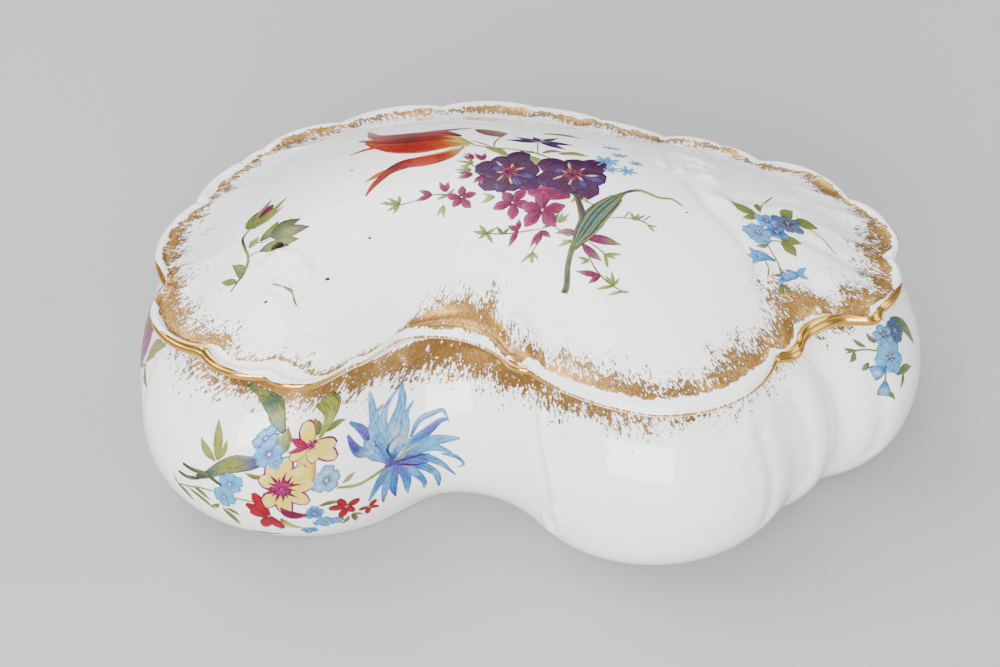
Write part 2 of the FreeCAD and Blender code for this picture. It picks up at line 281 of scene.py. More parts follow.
# The gold below the mouth, by direction: where it starts, how deep it is solid, and how far its ragged
# end reaches.
GOLD_UNDER_MOUTH = [
    (0, 0.0, 0.0, 3.0), (180, 0.0, 0.0, 4.0), (205, 0.0, 0.5, 6.0), (225, 0.0, 4.0, 6.0),
    (238, 0.0, 5.0, 6.0), (255, 0.0, 6.0, 6.5), (268, 0.0, 5.0, 6.0), (285, 0.0, 2.0, 6.0),
    (300, 0.0, 0.5, 6.0), (318, 0.0, 0.0, 5.0), (330, 0.0, 0.0, 4.0), (345, 0.0, 0.0, 4.0),
]


def by_direction(table, spread_deg=2.0):
    """A ring of values from a table of (direction in degrees, value)."""
    places, values = np.array(table, float).T
    return softened(np.interp(np.degrees(directions), places, values, period=360), spread_deg)


def by_directions(table, spread_deg=1.2):
    """Several rings of values side by side, from a table of (direction, value, value, ...)."""
    table = np.array(table, float)
    return np.stack(
        [by_direction(table[:, [0, column]], spread_deg) for column in range(1, table.shape[1])], -1
    )


rows = len(base_grid)
below_mouth = np.full((rows, AROUND), 99.0)
below_mouth[wall_rows] = (wall_length - wall_climb)[:, None]
rim_index = wall_rows[-1]
bare_clay = np.zeros((rows, AROUND))
bare_clay[base_grid[..., 2] < 0.12] = 1.0
base_shell = closed_mesh("base_shell", base_grid, {
    "gold_distance": below_mouth,
    "gilding": np.tile(by_directions(GOLD_UNDER_MOUTH), (rows, 1, 1)),
    "gilt_lip": np.zeros((rows, AROUND)),
    "rim_place": np.tile(base_grid[rim_index], (rows, 1, 1)),
    "bare_clay": bare_clay,
})


def socket(tree, kind, name, default=None, way="INPUT"):
    """Adds a socket to a node group."""
    made = tree.interface.new_socket(name=name, in_out=way, socket_type=kind)
    if default is not None:
        made.default_value = default
    return made


def node(tree, kind, **settings):
    """Adds a shader node. Settings named with a leading underscore are its sockets, others its properties."""
    made = tree.nodes.new(kind)
    for key, value in settings.items():
        if not key.startswith("_"):
            setattr(made, key, value)
    for key, value in settings.items():
        if key.startswith("_"):
            name = key[1:]
            target = made.inputs[int(name)] if name.isdigit() else made.inputs[name.replace("_", " ")]
            if isinstance(value, bpy.types.NodeSocket):
                tree.links.new(value, target)
            else:
                target.default_value = value
    return made


def maths(tree, operation, first, second=0.0, third=0.0, clamp=False):
    """The output of a Math node."""
    return node(
        tree, "ShaderNodeMath", operation=operation, use_clamp=clamp, _0=first, _1=second, _2=third
    ).outputs[0]


def spread(tree, value, low, high, to_low=0.0, to_high=1.0, smooth=True):
    """A value mapped from one range to another and held at its ends."""
    made = node(
        tree, "ShaderNodeMapRange", interpolation_type="SMOOTHSTEP" if smooth else "LINEAR",
        _Value=value, _1=low, _2=high, _3=to_low, _4=to_high,
    )
    return made.outputs[0]


def blended(tree, factor, first, second, way="MIX"):
    """The colour between two colours."""
    made = node(tree, "ShaderNodeMix", data_type="RGBA", blend_type=way)
    for place, value in ((0, factor), (6, first), (7, second)):
        if isinstance(value, bpy.types.NodeSocket):
            tree.links.new(value, made.inputs[place])
        else:
            made.inputs[place].default_value = value
    return made.outputs[2]


def glaze_group():
    """Clear glaze over white clay: its faint clouding, warm age toning, kiln specks and orange-peel skin."""
    tree = bpy.data.node_groups.new("aged_glaze", "ShaderNodeTree")
    socket(tree, "NodeSocketColor", "White", (0.90, 0.90, 0.90, 1))
    socket(tree, "NodeSocketColor", "Toning", (0.78, 0.70, 0.55, 1))
    socket(tree, "NodeSocketFloat", "Toning Amount", 0.25)
    socket(tree, "NodeSocketFloat", "Specks", 1.0)
    socket(tree, "NodeSocketColor", "Colour", way="OUTPUT")
    socket(tree, "NodeSocketFloat", "Skin", way="OUTPUT")
    given, result = tree.nodes.new("NodeGroupInput"), tree.nodes.new("NodeGroupOutput")
    place = node(tree, "ShaderNodeTexCoord").outputs["Object"]
    clouds = node(tree, "ShaderNodeTexNoise", _Vector=place, _Scale=28.0, _Detail=4.0).outputs[0]
    patches = node(tree, "ShaderNodeTexNoise", _Vector=place, _Scale=17.0, _Detail=6.0,
                   _Roughness=0.62).outputs[0]
    toned = maths(tree, "MULTIPLY", spread(tree, patches, 0.56, 0.74), given.outputs["Toning Amount"])
    dimmed = blended(tree, spread(tree, clouds, 0.35, 0.7, 0.0, 0.35), given.outputs["White"],
                     (0.86, 0.87, 0.88, 1))
    colour = blended(tree, toned, dimmed, given.outputs["Toning"])
    cells = node(tree, "ShaderNodeTexVoronoi", _Vector=place, _Scale=95.0, _Randomness=1.0)
    chosen = spread(tree, node(tree, "ShaderNodeSeparateColor", _0=cells.outputs["Color"]).outputs[0],
                    0.965, 0.985)
    dot = spread(tree, cells.outputs["Distance"], 0.028, 0.05, 1.0, 0.0)
    speck = maths(tree, "MULTIPLY", maths(tree, "MULTIPLY", chosen, dot), given.outputs["Specks"])
    colour = blended(tree, maths(tree, "MULTIPLY", speck, 0.85), colour, (0.05, 0.035, 0.02, 1))
    peel = node(tree, "ShaderNodeTexNoise", _Vector=place, _Scale=70.0, _Detail=2.0).outputs[0]
    sag = node(tree, "ShaderNodeTexNoise", _Vector=place, _Scale=18.0, _Detail=1.0).outputs[0]
    skin = maths(tree, "ADD", maths(tree, "MULTIPLY", peel, 0.25), sag)
    tree.links.new(colour, result.inputs["Colour"])
    tree.links.new(skin, result.inputs["Skin"])
    return tree


def sponged_gold_group():
    """Gold dabbed on with a sponge a little inside a white lip: solid first, then ragged streaks square to
    the rim, then specks. The lip itself may be gilt. It comes out as masks of the gold and its brown tone."""
    tree = bpy.data.node_groups.new("sponged_gold", "ShaderNodeTree")
    socket(tree, "NodeSocketFloat", "Distance", 99.0)
    socket(tree, "NodeSocketVector", "Gilding", (0, 0, 0))
    socket(tree, "NodeSocketFloat", "Gilt Lip", 0.0)
    socket(tree, "NodeSocketVector", "Rim Place", (0, 0, 0))
    socket(tree, "NodeSocketFloat", "Gold", way="OUTPUT")
    socket(tree, "NodeSocketFloat", "Brown", way="OUTPUT")
    given, result = tree.nodes.new("NodeGroupInput"), tree.nodes.new("NodeGroupOutput")
    distance, rim = given.outputs["Distance"], given.outputs["Rim Place"]
    lip, solid, reach = node(tree, "ShaderNodeSeparateXYZ", _0=given.outputs["Gilding"]).outputs
    depth = node(tree, "ShaderNodeCombineXYZ", _2=maths(tree, "MULTIPLY", distance, 0.75)).outputs[0]
    along = node(tree, "ShaderNodeVectorMath", operation="MULTIPLY_ADD", _0=rim, _1=(1.5, 1.5, 0.0),
                 _2=depth)
    dabs = node(tree, "ShaderNodeTexNoise", _Vector=along.outputs[0], _Scale=1.0, _Detail=3.0,
                _Roughness=0.6).outputs[0]
    wander = node(tree, "ShaderNodeTexNoise", _Vector=rim, _Scale=0.22, _Detail=3.0,
                  _Roughness=0.65).outputs[0]
    place = node(tree, "ShaderNodeTexCoord").outputs["Object"]
    grain = node(tree, "ShaderNodeTexNoise", _Vector=place, _Scale=1700.0, _Detail=3.0,
                 _Roughness=0.7).outputs[0]
    patch = node(tree, "ShaderNodeTexNoise", _Vector=place, _Scale=170.0, _Detail=3.0).outputs[0]
    reach = maths(tree, "MULTIPLY", reach, spread(tree, wander, 0.3, 0.7, 0.6, 1.25, smooth=False))
    inward = maths(tree, "SUBTRACT", distance,
                   maths(tree, "ADD", lip, spread(tree, wander, 0.3, 0.7, -0.4, 0.7)))
    past = maths(tree, "DIVIDE", maths(tree, "SUBTRACT", inward, solid),
                 maths(tree, "MAXIMUM", reach, 0.01))
    texture = maths(tree, "MULTIPLY_ADD", dabs, 0.62, maths(tree, "MULTIPLY", grain, 0.38))
    level = maths(tree, "ADD", spread(tree, past, -0.2, 0.8, 0.39, 0.56, smooth=False),
                  spread(tree, past, 0.8, 2.2, 0.0, 0.13, smooth=False))
    level = maths(tree, "ADD", level, spread(tree, inward, -0.6, 0.7, 0.5, 0.0))
    level = maths(tree, "ADD", level, spread(tree, patch, 0.4, 0.66, -0.02, 0.05))
    covered = maths(tree, "SUBTRACT", texture, level)
    dabbed = maths(tree, "MULTIPLY", spread(tree, covered, -0.004, 0.012),
                   maths(tree, "GREATER_THAN", reach, 0.3))
    ragged = maths(tree, "MULTIPLY_ADD", maths(tree, "SUBTRACT", dabs, 0.5), 0.8, distance)
    lined = maths(tree, "SUBTRACT", given.outputs["Gilt Lip"], ragged)
    burnished = maths(tree, "MULTIPLY", spread(tree, lined, -0.03, 0.05),
                      maths(tree, "GREATER_THAN", given.outputs["Gilt Lip"], 0.03))
    brown = maths(tree, "SUBTRACT", spread(tree, covered, 0.0, 0.22, 1.0, 0.45),
                  spread(tree, patch, 0.45, 0.62, 0.0, 0.4))
    tree.links.new(maths(tree, "MAXIMUM", dabbed, burnished), result.inputs["Gold"])
    tree.links.new(maths(tree, "SUBTRACT", brown, burnished, clamp=True), result.inputs["Brown"])
    return tree


aged_glaze = glaze_group()
sponged_gold = sponged_gold_group()


def gilt_porcelain(name, toning, specks, brown_gold_and_shade):
    """Glazed white porcelain with sponged gold, its brown tone partly painted shade, and bare clay where the
    piece was ground.
    """
    material = bpy.data.materials.new(name)
    material.use_nodes = True
    tree = material.node_tree
    shader = tree.nodes["Principled BSDF"]
    glaze = node(tree, "ShaderNodeGroup", node_tree=aged_glaze)
    glaze.inputs["Toning Amount"].default_value = toning
    glaze.inputs["Specks"].default_value = specks
    read = {
        key: node(tree, "ShaderNodeAttribute", attribute_name=key)
        for key in ("gold_distance", "gilding", "gilt_lip", "rim_place", "bare_clay")
    }
    gilding = node(
        tree, "ShaderNodeGroup", node_tree=sponged_gold, _Distance=read["gold_distance"].outputs["Fac"],
        _Gilding=read["gilding"].outputs["Vector"], _Gilt_Lip=read["gilt_lip"].outputs["Fac"],
        _Rim_Place=read["rim_place"].outputs["Vector"],
    )
    gold = gilding.outputs["Gold"]
    # The brown tone is matt, thinly dabbed gold and is also painted shade. A lower power browns the gold
    # more, and the base's gold, under the lid's overhang, is browned more than the lid's.
    brown = spread(tree, gilding.outputs["Brown"], 0.02, 1, 0.0, 1.0, smooth=False)
    brown = maths(tree, "POWER", brown, brown_gold_and_shade)
    bare = read["bare_clay"].outputs["Fac"]
    gilt = blended(tree, brown, (0.72, 0.41, 0.085, 1), (0.16, 0.072, 0.018, 1))
    clay = blended(tree, bare, glaze.outputs["Colour"], (0.66, 0.63, 0.58, 1))
    colour = blended(tree, gold, clay, gilt)
    tree.links.new(colour, shader.inputs["Base Color"])
    tree.links.new(maths(tree, "MULTIPLY", gold, spread(tree, brown, 0, 1, 0.95, 0.55)),
                   shader.inputs["Metallic"])
    smooth = spread(tree, brown, 0, 1, 0.20, 0.38, smooth=False)
    rough = spread(tree, bare, 0, 1, 0.07, 0.75, smooth=False)
    finish = node(tree, "ShaderNodeMix", data_type="FLOAT", _0=gold, _2=rough, _3=smooth).outputs[0]
    tree.links.new(finish, shader.inputs["Roughness"])
    height = maths(tree, "MULTIPLY_ADD", gold, 0.35, glaze.outputs["Skin"])
    skin = node(tree, "ShaderNodeBump", _Strength=0.35, _Distance=0.00012, _Height=height)
    tree.links.new(skin.outputs[0], shader.inputs["Normal"])
    shader.inputs["IOR"].default_value = 1.52
    shader.inputs["Subsurface Weight"].default_value = 0.12
    shader.inputs["Subsurface Radius"].default_value = (0.0016, 0.0013, 0.0011)
    shader.inputs["Subsurface Scale"].default_value = 1.0
    return material


# The base's gold is browned more than the lid's, as painted shade under the lid's overhang.
base_porcelain = gilt_porcelain("base_porcelain", toning=0.35, specks=1.0, brown_gold_and_shade=0.42)
base_shell.data.materials.append(base_porcelain)
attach(base_shell, "base")
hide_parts("base")


# ---- Lid shell ---------------------------------------------------------------------------------
# The loose cover, one casting: a dome whose brim is fluted like a shell out to a scalloped, rolled lip.
# Its flat seat rests on the mouth rim, and the flange under it drops inside the rim and centres it.

SEAT = 50.1
LIP = 2.0
CROWN = 23.0
DOME_WALL = 3.2
FLANGE_PLAY = 1.0
FLANGE_WIDTH = 2.6

# Direction in degrees, width of the fluted brim, depth of the flutes, and how slowly the dome rises there.
BRIM = [
    (0, 28.0, 2.0, 1.75), (40, 18.0, 1.4, 1.90), (90, 13.0, 1.0, 2.30), (135, 18.0, 1.5, 1.90),
    (180, 28.0, 2.2, 1.70), (212, 24.0, 1.6, 1.50), (232, 12.0, 0.6, 1.30), (252, 7.0, 0.0, 1.15),
    (290, 7.0, 0.0, 1.15), (312, 8.0, 0.0, 1.20), (328, 14.0, 0.5, 1.40), (343, 24.0, 1.5, 1.60),
]
brim_width, flute_depth, rise_power = (
    by_direction([(row[0], row[column]) for row in BRIM], 7.0) for column in (1, 2, 3)
)
corner_angles = np.sort([math.atan2(y, x) % math.tau for x, y, _ in LID_EDGE])
corner_ring = np.concatenate([[corner_angles[-1] - math.tau], corner_angles, [corner_angles[0] + math.tau]])
past_corner = np.searchsorted(corner_ring, directions, side="right") - 1
scallop_span = np.diff(corner_ring)[past_corner]
scallop_share = (directions - corner_ring[past_corner]) / scallop_span
round_outline = softened(outline(LID_EDGE, 0.7), 16.0)


def lid_radii(share):
    """The lid's outline at shares of the way out: lobed at the edge and rounder towards the crown."""
    share = np.asarray(share)[:, None]
    return share * (round_outline + (lid_outline - round_outline) * share**2.5)


def swell(points, rim):
    """How far points lie inside a closed line, averaged over every direction: 0 on it, smooth inside it."""
    total = np.zeros(len(points))
    first = rim[-1] - points
    first_reach = np.linalg.norm(first, axis=1)
    for corner in rim:
        second = corner - points
        second_reach = np.linalg.norm(second, axis=1)
        cross = first[:, 0] * second[:, 1] - first[:, 1] * second[:, 0]
        dot = (first * second).sum(1)
        half_turn = (first_reach * second_reach - dot) / np.where(np.abs(cross) < 1e-9, 1e-9, cross)
        total += half_turn * (1 / first_reach + 1 / second_reach)
        first, first_reach = second, second_reach
    return 2 / total


swell_rim = (outline(LID_EDGE, 1.2)[:, None] * compass)[::4] * 1.003
crown_swell = swell(np.zeros((1, 2)), swell_rim)[0]


def lid_rise(radii):
    """The top face's height above the lip at rows of radii, in every direction."""
    inside = swell((radii[..., None] * compass).reshape(-1, 2), swell_rim).reshape(radii.shape)
    rise = CROWN * np.clip(inside / crown_swell, 0, None) ** rise_power
    from_lip = np.clip((lid_outline - radii) / brim_width, 0, 1)
    flute = np.sin(np.pi * scallop_share) ** 0.8 * np.sin(np.pi * (from_lip + 0.22) / 1.22) ** 2
    return rise - flute_depth * flute * np.clip(from_lip / 0.1, 0, 1)


top_shares = np.concatenate([
    np.linspace(0.01, 0.55, 80), np.linspace(0.556, 0.84, 70), np.linspace(0.844, 0.992, 60)
])
top_radii = lid_radii(top_shares)
top_levels = SEAT + LIP + lid_rise(top_radii)

# Moulded relief on top: the rolled lip, a crease running in from each notch of the edge, the gutter along the
# back, the leafy scrolls left and right, and the fold beside the bay.
ROLL = [
    (0, 0.3), (195, 0.4), (212, 0.9), (222, 0.6), (230, 0.5), (240, 0.7), (262, 0.7), (272, 0.4), (300, 0.3),
    (318, 0.6), (324, 1.3), (336, 1.3), (341, 0.6), (350, 0.3),
]
in_from_lip = lid_outline - top_radii
roll = by_direction(ROLL) * np.exp(-((in_from_lip - 1.5) / 1.1) ** 2) * np.clip(in_from_lip / 0.6, 0, 1)
roll -= 0.5 * by_direction(ROLL) * np.exp(-((in_from_lip - 3.8) / 1.4) ** 2)
off_notch = np.minimum(scallop_share, 1 - scallop_share) * scallop_span * lid_outline
crease_run = by_direction([
    (0, 15), (60, 9), (90, 7), (135, 12), (170, 24), (200, 26), (222, 12), (240, 3), (255, 3), (280, 4),
    (315, 5), (325, 8), (345, 20),
])
crease = -0.75 * np.exp(-((off_notch / (1.0 + 0.12 * in_from_lip)) ** 2))
crease = crease * np.clip(1 - in_from_lip / crease_run, 0, 1) ** 1.5
gutter = by_direction([(0, 0.0), (45, 0.5), (70, 1.0), (130, 1.0), (150, 0.4), (160, 0.0), (345, 0.0)])
gutter_ridge = 0.5 * np.exp(-((in_from_lip - 10.5) / 1.6) ** 2)
gutter = gutter * (gutter_ridge - np.exp(-((in_from_lip - 6.8) / 2.4) ** 2))
top_x, top_y = np.moveaxis(placed(top_radii, top_levels)[..., :2], -1, 0)
moulded = sum(bump_along(top_x, top_y, points, width, height) for points, width, height in (
    ([(-4.0, -36.0), (-1.5, -39.5), (0.8, -43.5), (2.2, -47.0)], 1.5, 1.3),
    ([(-0.6, -34.0), (2.4, -39.0), (4.6, -44.0)], 1.8, -0.7),
    ([(-42.6, -44.6), (-43.6, -46.4)], 1.7, 1.0), ([(-5.8, -45.4), (-4.4, -47.2)], 1.6, 1.1),
    ([(33.0, 12.0), (32.4, 18.0), (36.0, 22.5), (42.0, 22.0), (46.0, 18.0)], 1.4, 0.7),
    ([(37.4, 10.0), (38.0, 14.0), (42.0, 15.6), (46.4, 12.0)], 1.2, 0.7),
    ([(35.2, 11.0), (35.4, 16.4), (38.8, 19.0), (43.0, 18.4)], 1.2, -0.4),
    ([(44.0, 9.6), (45.0, 9.0)], 2.2, 1.1), ([(46.6, -0.6), (47.4, -1.0)], 2.4, 0.9),
    ([(50.0, 1.0), (57.5, 4.5), (66.0, 9.5)], 1.8, -0.7),
    ([(50.0, -2.0), (58.0, 1.0), (66.0, 5.0)], 2.0, 0.5),
    ([(39.6, 4.6), (43.6, -4.6), (49.4, -11.0), (54.0, -19.0), (56.4, -29.0)], 1.8, -0.45),
    ([(69.0, -7.4), (76.0, -8.6), (84.0, -9.0)], 1.8, -0.6),
    ([(57.0, -20.0), (63.0, -18.0), (68.0, -20.0)], 3.0, -0.5),
    ([(-66.0, -20.0), (-62.0, -16.4), (-57.0, -18.4), (-54.4, -23.6)], 1.5, 0.5),
    ([(-54.4, -23.6), (-55.6, -29.0), (-60.6, -31.4), (-65.8, -28.6)], 1.5, 0.45),
    ([(-62.8, -23.6), (-59.0, -22.6), (-58.2, -26.0)], 1.6, -0.4),
    ([(-58.0, -20.6), (-50.0, -16.0), (-46.0, -15.0)], 2.0, -0.3),
    ([(-60.0, -46.0), (-56.0, -40.0), (-53.0, -36.0)], 1.5, -0.6),
    ([(-57.4, -47.4), (-53.6, -41.4)], 1.4, 0.5),
))
top_levels = top_levels + roll + (crease + gutter + moulded) * np.clip(in_from_lip / 1.5, 0, 1)
lid_top = placed(top_radii, top_levels)[::-1]

lip_turn = np.radians(np.linspace(75, -80, 12))
lip_radii = lid_outline - LIP / 2 + LIP / 2 * np.cos(lip_turn)[:, None]
lip_levels = np.broadcast_to((SEAT + LIP / 2 + LIP / 2 * np.sin(lip_turn))[:, None], lip_radii.shape)
flange_radii = mouth - RIM_WIDTH - FLANGE_PLAY
hollow_radii = flange_radii - FLANGE_WIDTH
under = [(hollow_radii * 0.02, np.full(AROUND, SEAT + LIP + CROWN - DOME_WALL))]
for share in (0.15, 0.3, 0.45, 0.6, 0.72, 0.82, 0.9, 0.95, 0.985):
    thickness = DOME_WALL * (1 + 0.8 * share**6)
    under.append((share * hollow_radii, SEAT + LIP + lid_rise(share * hollow_radii[None])[0] - thickness))
under += [(hollow_radii, np.full(AROUND, z)) for z in (48.0, 46.0, 44.6)]
under += [(flange_radii - inward, np.full(AROUND, z)) for inward, z in (
    (2.2, 44.1), (1.8, 44.0), (0.8, 44.0), (0.4, 44.1), (0.0, 44.6), (0.0, 47.0), (0.0, 49.6),
    (-0.2, 50.0),
)]
lid_under_seat = lid_outline - LIP / 2
under += [
    (flange_radii + (lid_under_seat - flange_radii) * share, np.full(AROUND, SEAT))
    for share in (0.06, 0.3, 0.6, 0.9)
]
under_radii, under_levels = (np.array([row[part] for row in under]) for part in (0, 1))
lid_grid = np.concatenate([placed(under_radii, under_levels), placed(lip_radii, lip_levels)[::-1], lid_top])
from_edge = np.full(lid_grid.shape[:2], 99.0)
from_edge[len(under):] = lid_outline - np.concatenate([lip_radii[::-1], top_radii[::-1]])

# The sponged gold by direction: the white lip left outside it, how deep it is solid, how far its ragged end
# reaches, and how wide the lip itself is gilt and burnished.
GILDING = [
    (0, 1.0, 3.0, 8.0, 0.8), (4, 2.2, 0.5, 7.0, 0.0), (10, 1.6, 1.5, 6.5, 0.0), (14, 0.8, 3.5, 5.0, 0.0),
    (18, 1.2, 1.5, 5.0, 0.0), (22, 2.6, 0.5, 6.0, 0.0), (28, 1.5, 1.0, 4.0, 0.0), (32, 0.8, 2.0, 3.5, 0.4),
    (38, 1.2, 0.5, 3.5, 0.0), (46, 1.2, 0.8, 4.0, 0.0), (52, 1.4, 2.0, 5.0, 0.0), (66, 1.6, 0.3, 3.5, 0.0),
    (72, 1.6, 2.0, 5.5, 0.0), (86, 1.8, 0.3, 3.5, 0.0), (92, 1.6, 2.5, 5.5, 0.0), (104, 1.8, 1.2, 4.5, 0.0),
    (111, 2.0, 0.0, 2.5, 0.0), (116, 1.8, 2.0, 5.5, 0.0), (130, 2.0, 0.3, 3.5, 0.0),
    (138, 1.6, 2.0, 5.5, 0.0), (150, 1.2, 3.0, 6.0, 0.0), (154, 2.0, 0.3, 3.0, 0.0),
    (158, 2.0, 1.5, 6.0, 0.0), (162, 2.8, 0.3, 3.0, 0.0), (168, 2.6, 3.0, 7.0, 0.0),
    (172, 3.5, 0.3, 3.0, 0.0), (176, 2.4, 1.5, 7.0, 0.0), (182, 2.0, 2.5, 7.0, 0.0),
    (188, 1.2, 4.0, 7.0, 0.0), (191, 2.6, 0.3, 3.0, 1.2), (194, 1.0, 2.0, 7.0, 1.2),
    (198, 0.2, 5.0, 7.5, 0.0), (201, 2.0, 3.5, 8.0, 0.0), (207, 2.0, 3.5, 9.0, 0.8),
    (211, 2.2, 3.0, 8.0, 1.6), (214, 3.6, 0.0, 6.0, 2.2), (218, 4.6, 0.0, 6.0, 1.2),
    (222, 5.0, 0.0, 4.0, 0.6), (226, 6.0, 0.0, 3.0, 0.0), (229, 5.0, 0.5, 5.0, 1.2),
    (232, 3.0, 0.5, 5.0, 0.1), (236, 1.4, 2.0, 5.0, 0.06), (241, 0.4, 5.0, 4.5, 0.06),
    (258, 0.4, 5.5, 5.0, 0.06), (263, 0.5, 4.5, 6.0, 0.3), (267, 0.6, 4.0, 6.0, 1.0),
    (271, 2.2, 1.0, 5.0, 0.3), (277, 2.4, 2.5, 7.0, 0.06), (290, 2.8, 1.5, 7.0, 0.06),
    (297, 2.8, 0.5, 6.0, 0.06), (308, 2.6, 3.0, 7.0, 0.08), (315, 2.2, 3.0, 6.0, 0.5),
    (318, 2.0, 0.5, 5.0, 1.0), (321, 2.8, 4.0, 7.0, 2.4), (325, 3.2, 5.0, 8.0, 2.6),
    (335, 3.4, 5.5, 8.0, 2.6), (339, 2.4, 4.0, 8.0, 0.8), (342, 1.0, 4.0, 8.0, 2.0),
    (346, 2.2, 4.0, 8.0, 0.0), (353, 2.2, 4.0, 8.0, 0.0),
]
gilding = by_directions(GILDING)
lid_shell = closed_mesh("lid_shell", lid_grid, {
    "gold_distance": from_edge,
    "gilding": np.tile(gilding[:, :3], (len(lid_grid), 1, 1)),
    "gilt_lip": np.tile(gilding[:, 3], (len(lid_grid), 1)),
    "rim_place": np.tile(placed(lid_outline, SEAT), (len(lid_grid), 1, 1)),
    "bare_clay": np.zeros(lid_grid.shape[:2]),
})
lid_porcelain = gilt_porcelain("lid_porcelain", toning=0.12, specks=1.0, brown_gold_and_shade=0.75)
lid_shell.data.materials.append(lid_porcelain)
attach(lid_shell, "lid")
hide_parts("lid")


# ---- Lid bouquet -------------------------------------------------------------------------------
# A spray of garden flowers painted over the glaze in enamels: a flame tulip, two purple anemones, magenta
# phlox and a striped leaf. Every brush stroke is a thin crowned film of colour melted onto the glaze.


def surface_at(grid, normals, row, column):
    """Points and normals between the rows and columns of a closed grid."""
    row = np.clip(row, 0, len(grid) - 1.001)
    low, left = np.floor(row).astype(int), np.floor(column).astype(int)
    up, over = (row - low)[:, None], (column - left)[:, None]
    left, right = left % AROUND, (left + 1) % AROUND
    between = [
        (1 - up) * ((1 - over) * rows[low, left] + over * rows[low, right])
        + up * ((1 - over) * rows[low + 1, left] + over * rows[low + 1, right])
        for rows in (grid, normals)
    ]
    return between[0], between[1] / np.linalg.norm(between[1], axis=1, keepdims=True)


lid_face = lid_top[::-1]
lid_face_normals = -row_normals(lid_face)


def on_lid(flat):
    """Points and normals of the lid's top face at (x, y) places seen from above."""
    away = flat - POLE
    column = np.arctan2(away[:, 1], away[:, 0]) % math.tau / math.tau * AROUND
    near = np.floor(column).astype(int) % AROUND
    share = column - np.floor(column)
    radii = top_radii[:, near] * (1 - share) + top_radii[:, (near + 1) % AROUND] * share
    reach = np.hypot(*away.T)
    above = np.clip((radii < reach).sum(0), 1, len(radii) - 1)
    picks = np.arange(len(reach))
    lower, upper = radii[above - 1, picks], radii[above, picks]
    return surface_at(lid_face, lid_face_normals, above - 1 + (reach - lower) / (upper - lower), column)


def ink(red, green, blue):
    """An enamel colour from its mixed values, 0 to 255."""
    mixed = np.array([red, green, blue]) / 255
    return np.where(mixed < 0.04045, mixed / 12.92, ((mixed + 0.055) / 1.055) ** 2.4)


def through(points, count):
    """A smooth curve through the points, read at even steps."""
    points = np.array(points, float)
    if len(points) == 2:
        return points[0] + (points[1] - points[0]) * np.linspace(0, 1, count)[:, None]
    padded = np.concatenate([[2 * points[0] - points[1]], points, [2 * points[-1] - points[-2]]])
    pieces = []
    for a, b, c, d in zip(padded, padded[1:], padded[2:], padded[3:]):
        t = np.linspace(0, 1, 12, endpoint=False)[:, None]
        bend, twist = 2 * a - 5 * b + 4 * c - d, 3 * b - a - 3 * c + d
        pieces.append(0.5 * (2 * b + (c - a) * t + bend * t**2 + twist * t**3))
    line = np.concatenate(pieces + [points[-1:]])
    run = np.concatenate([[0], np.cumsum(np.linalg.norm(np.diff(line, axis=0), axis=1))])
    steps = np.linspace(0, run[-1], count)
    return np.stack([np.interp(steps, run, line[:, axis]) for axis in (0, 1)], 1)


# How the width of a stroke runs from its root to its tip.
ROUND_PETAL = (0.28, 0.72, 0.97, 1.0, 0.88, 0.40)
POINTED_PETAL = (0.30, 0.80, 1.0, 0.86, 0.48, 0.06)
LEAF_BLADE = (0.16, 0.74, 1.0, 0.92, 0.55, 0.05)
EVEN_LINE = (0.7, 1.0, 1.0, 1.0, 1.0, 0.5)
film = []

# A stroke's edge is sunk in the glaze, and its crown stands out by the first coat and more for later ones.
SUNK, FIRST_COAT, LATER_COAT = 0.03, 0.055, 0.022


def stroke(path, width, inks, shape=POINTED_PETAL, edge=None, veins=0.5, lift=1):
    """One stroke of enamel: its path, its half width in millimetres, its colours from root to tip, the colour
    of its edges, how streaky the brush left it, and which coat it is."""
    length = np.linalg.norm(np.diff(np.array(path, float), axis=0), axis=1).sum()
    steps = int(np.clip(length / 0.45, 5, 40))
    columns = 3 if width < 0.22 else 5 if width < 0.8 else 9
    line = through(path, steps)
    heading = np.gradient(line, axis=0)
    heading /= np.maximum(np.linalg.norm(heading, axis=1, keepdims=True), 1e-9)
    side = np.stack([-heading[:, 1], heading[:, 0]], 1)
    share = np.linspace(0, 1, steps)
    widths = np.interp(share, np.linspace(0, 1, len(shape)), shape) * width
    widths = np.maximum(np.convolve(np.pad(widths, 1, "edge"), [0.25, 0.5, 0.25], "valid"), 0.04)
    across = np.linspace(-1, 1, columns)
    flat = line[:, None] + side[:, None] * (widths[:, None] * across)[..., None]
    inks = np.array([np.broadcast_to(one, 3) for one in inks])
    colour = np.stack([np.interp(share, np.linspace(0, 1, len(inks)), inks[:, c]) for c in range(3)], -1)
    colour = np.repeat(colour[:, None], columns, 1)
    if edge is not None:
        mixed = (np.abs(across) ** 2.2)[None, :, None] * np.clip(share * 1.4, 0.25, 1)[:, None, None]
        colour = colour * (1 - mixed) + np.array(edge) * mixed
    run = share * length
    seed = (len(film) * 0.618) % 1 * 40
    way = np.stack(np.broadcast_arrays(run[:, None], widths[:, None] * across, seed), -1)
    film.append({
        "flat": flat, "across": np.broadcast_to(across, flat.shape[:2]), "lift": lift,
        "colour": colour, "way": way, "veins": np.full(flat.shape[:2], float(veins)),
    })


def leaf(root, tip, width, inks, bend=0.0, rib=None, lift=1, veins=0.8):
    """A leaf of one broad stroke with a fine midrib, bowed sideways by a share of its length."""
    root, tip = np.array(root, float), np.array(tip, float)
    middle = (root + tip) / 2 + bend * np.array([root[1] - tip[1], tip[0] - root[0]])
    stroke([root, middle, tip], width, inks, LEAF_BLADE, edge=inks[-1] * 0.62, veins=veins, lift=lift)
    if rib is not None:
        stroke([root, middle, root + (tip - root) * 0.86], 0.09, [rib, rib], EVEN_LINE, veins=0,
               lift=lift + 1)


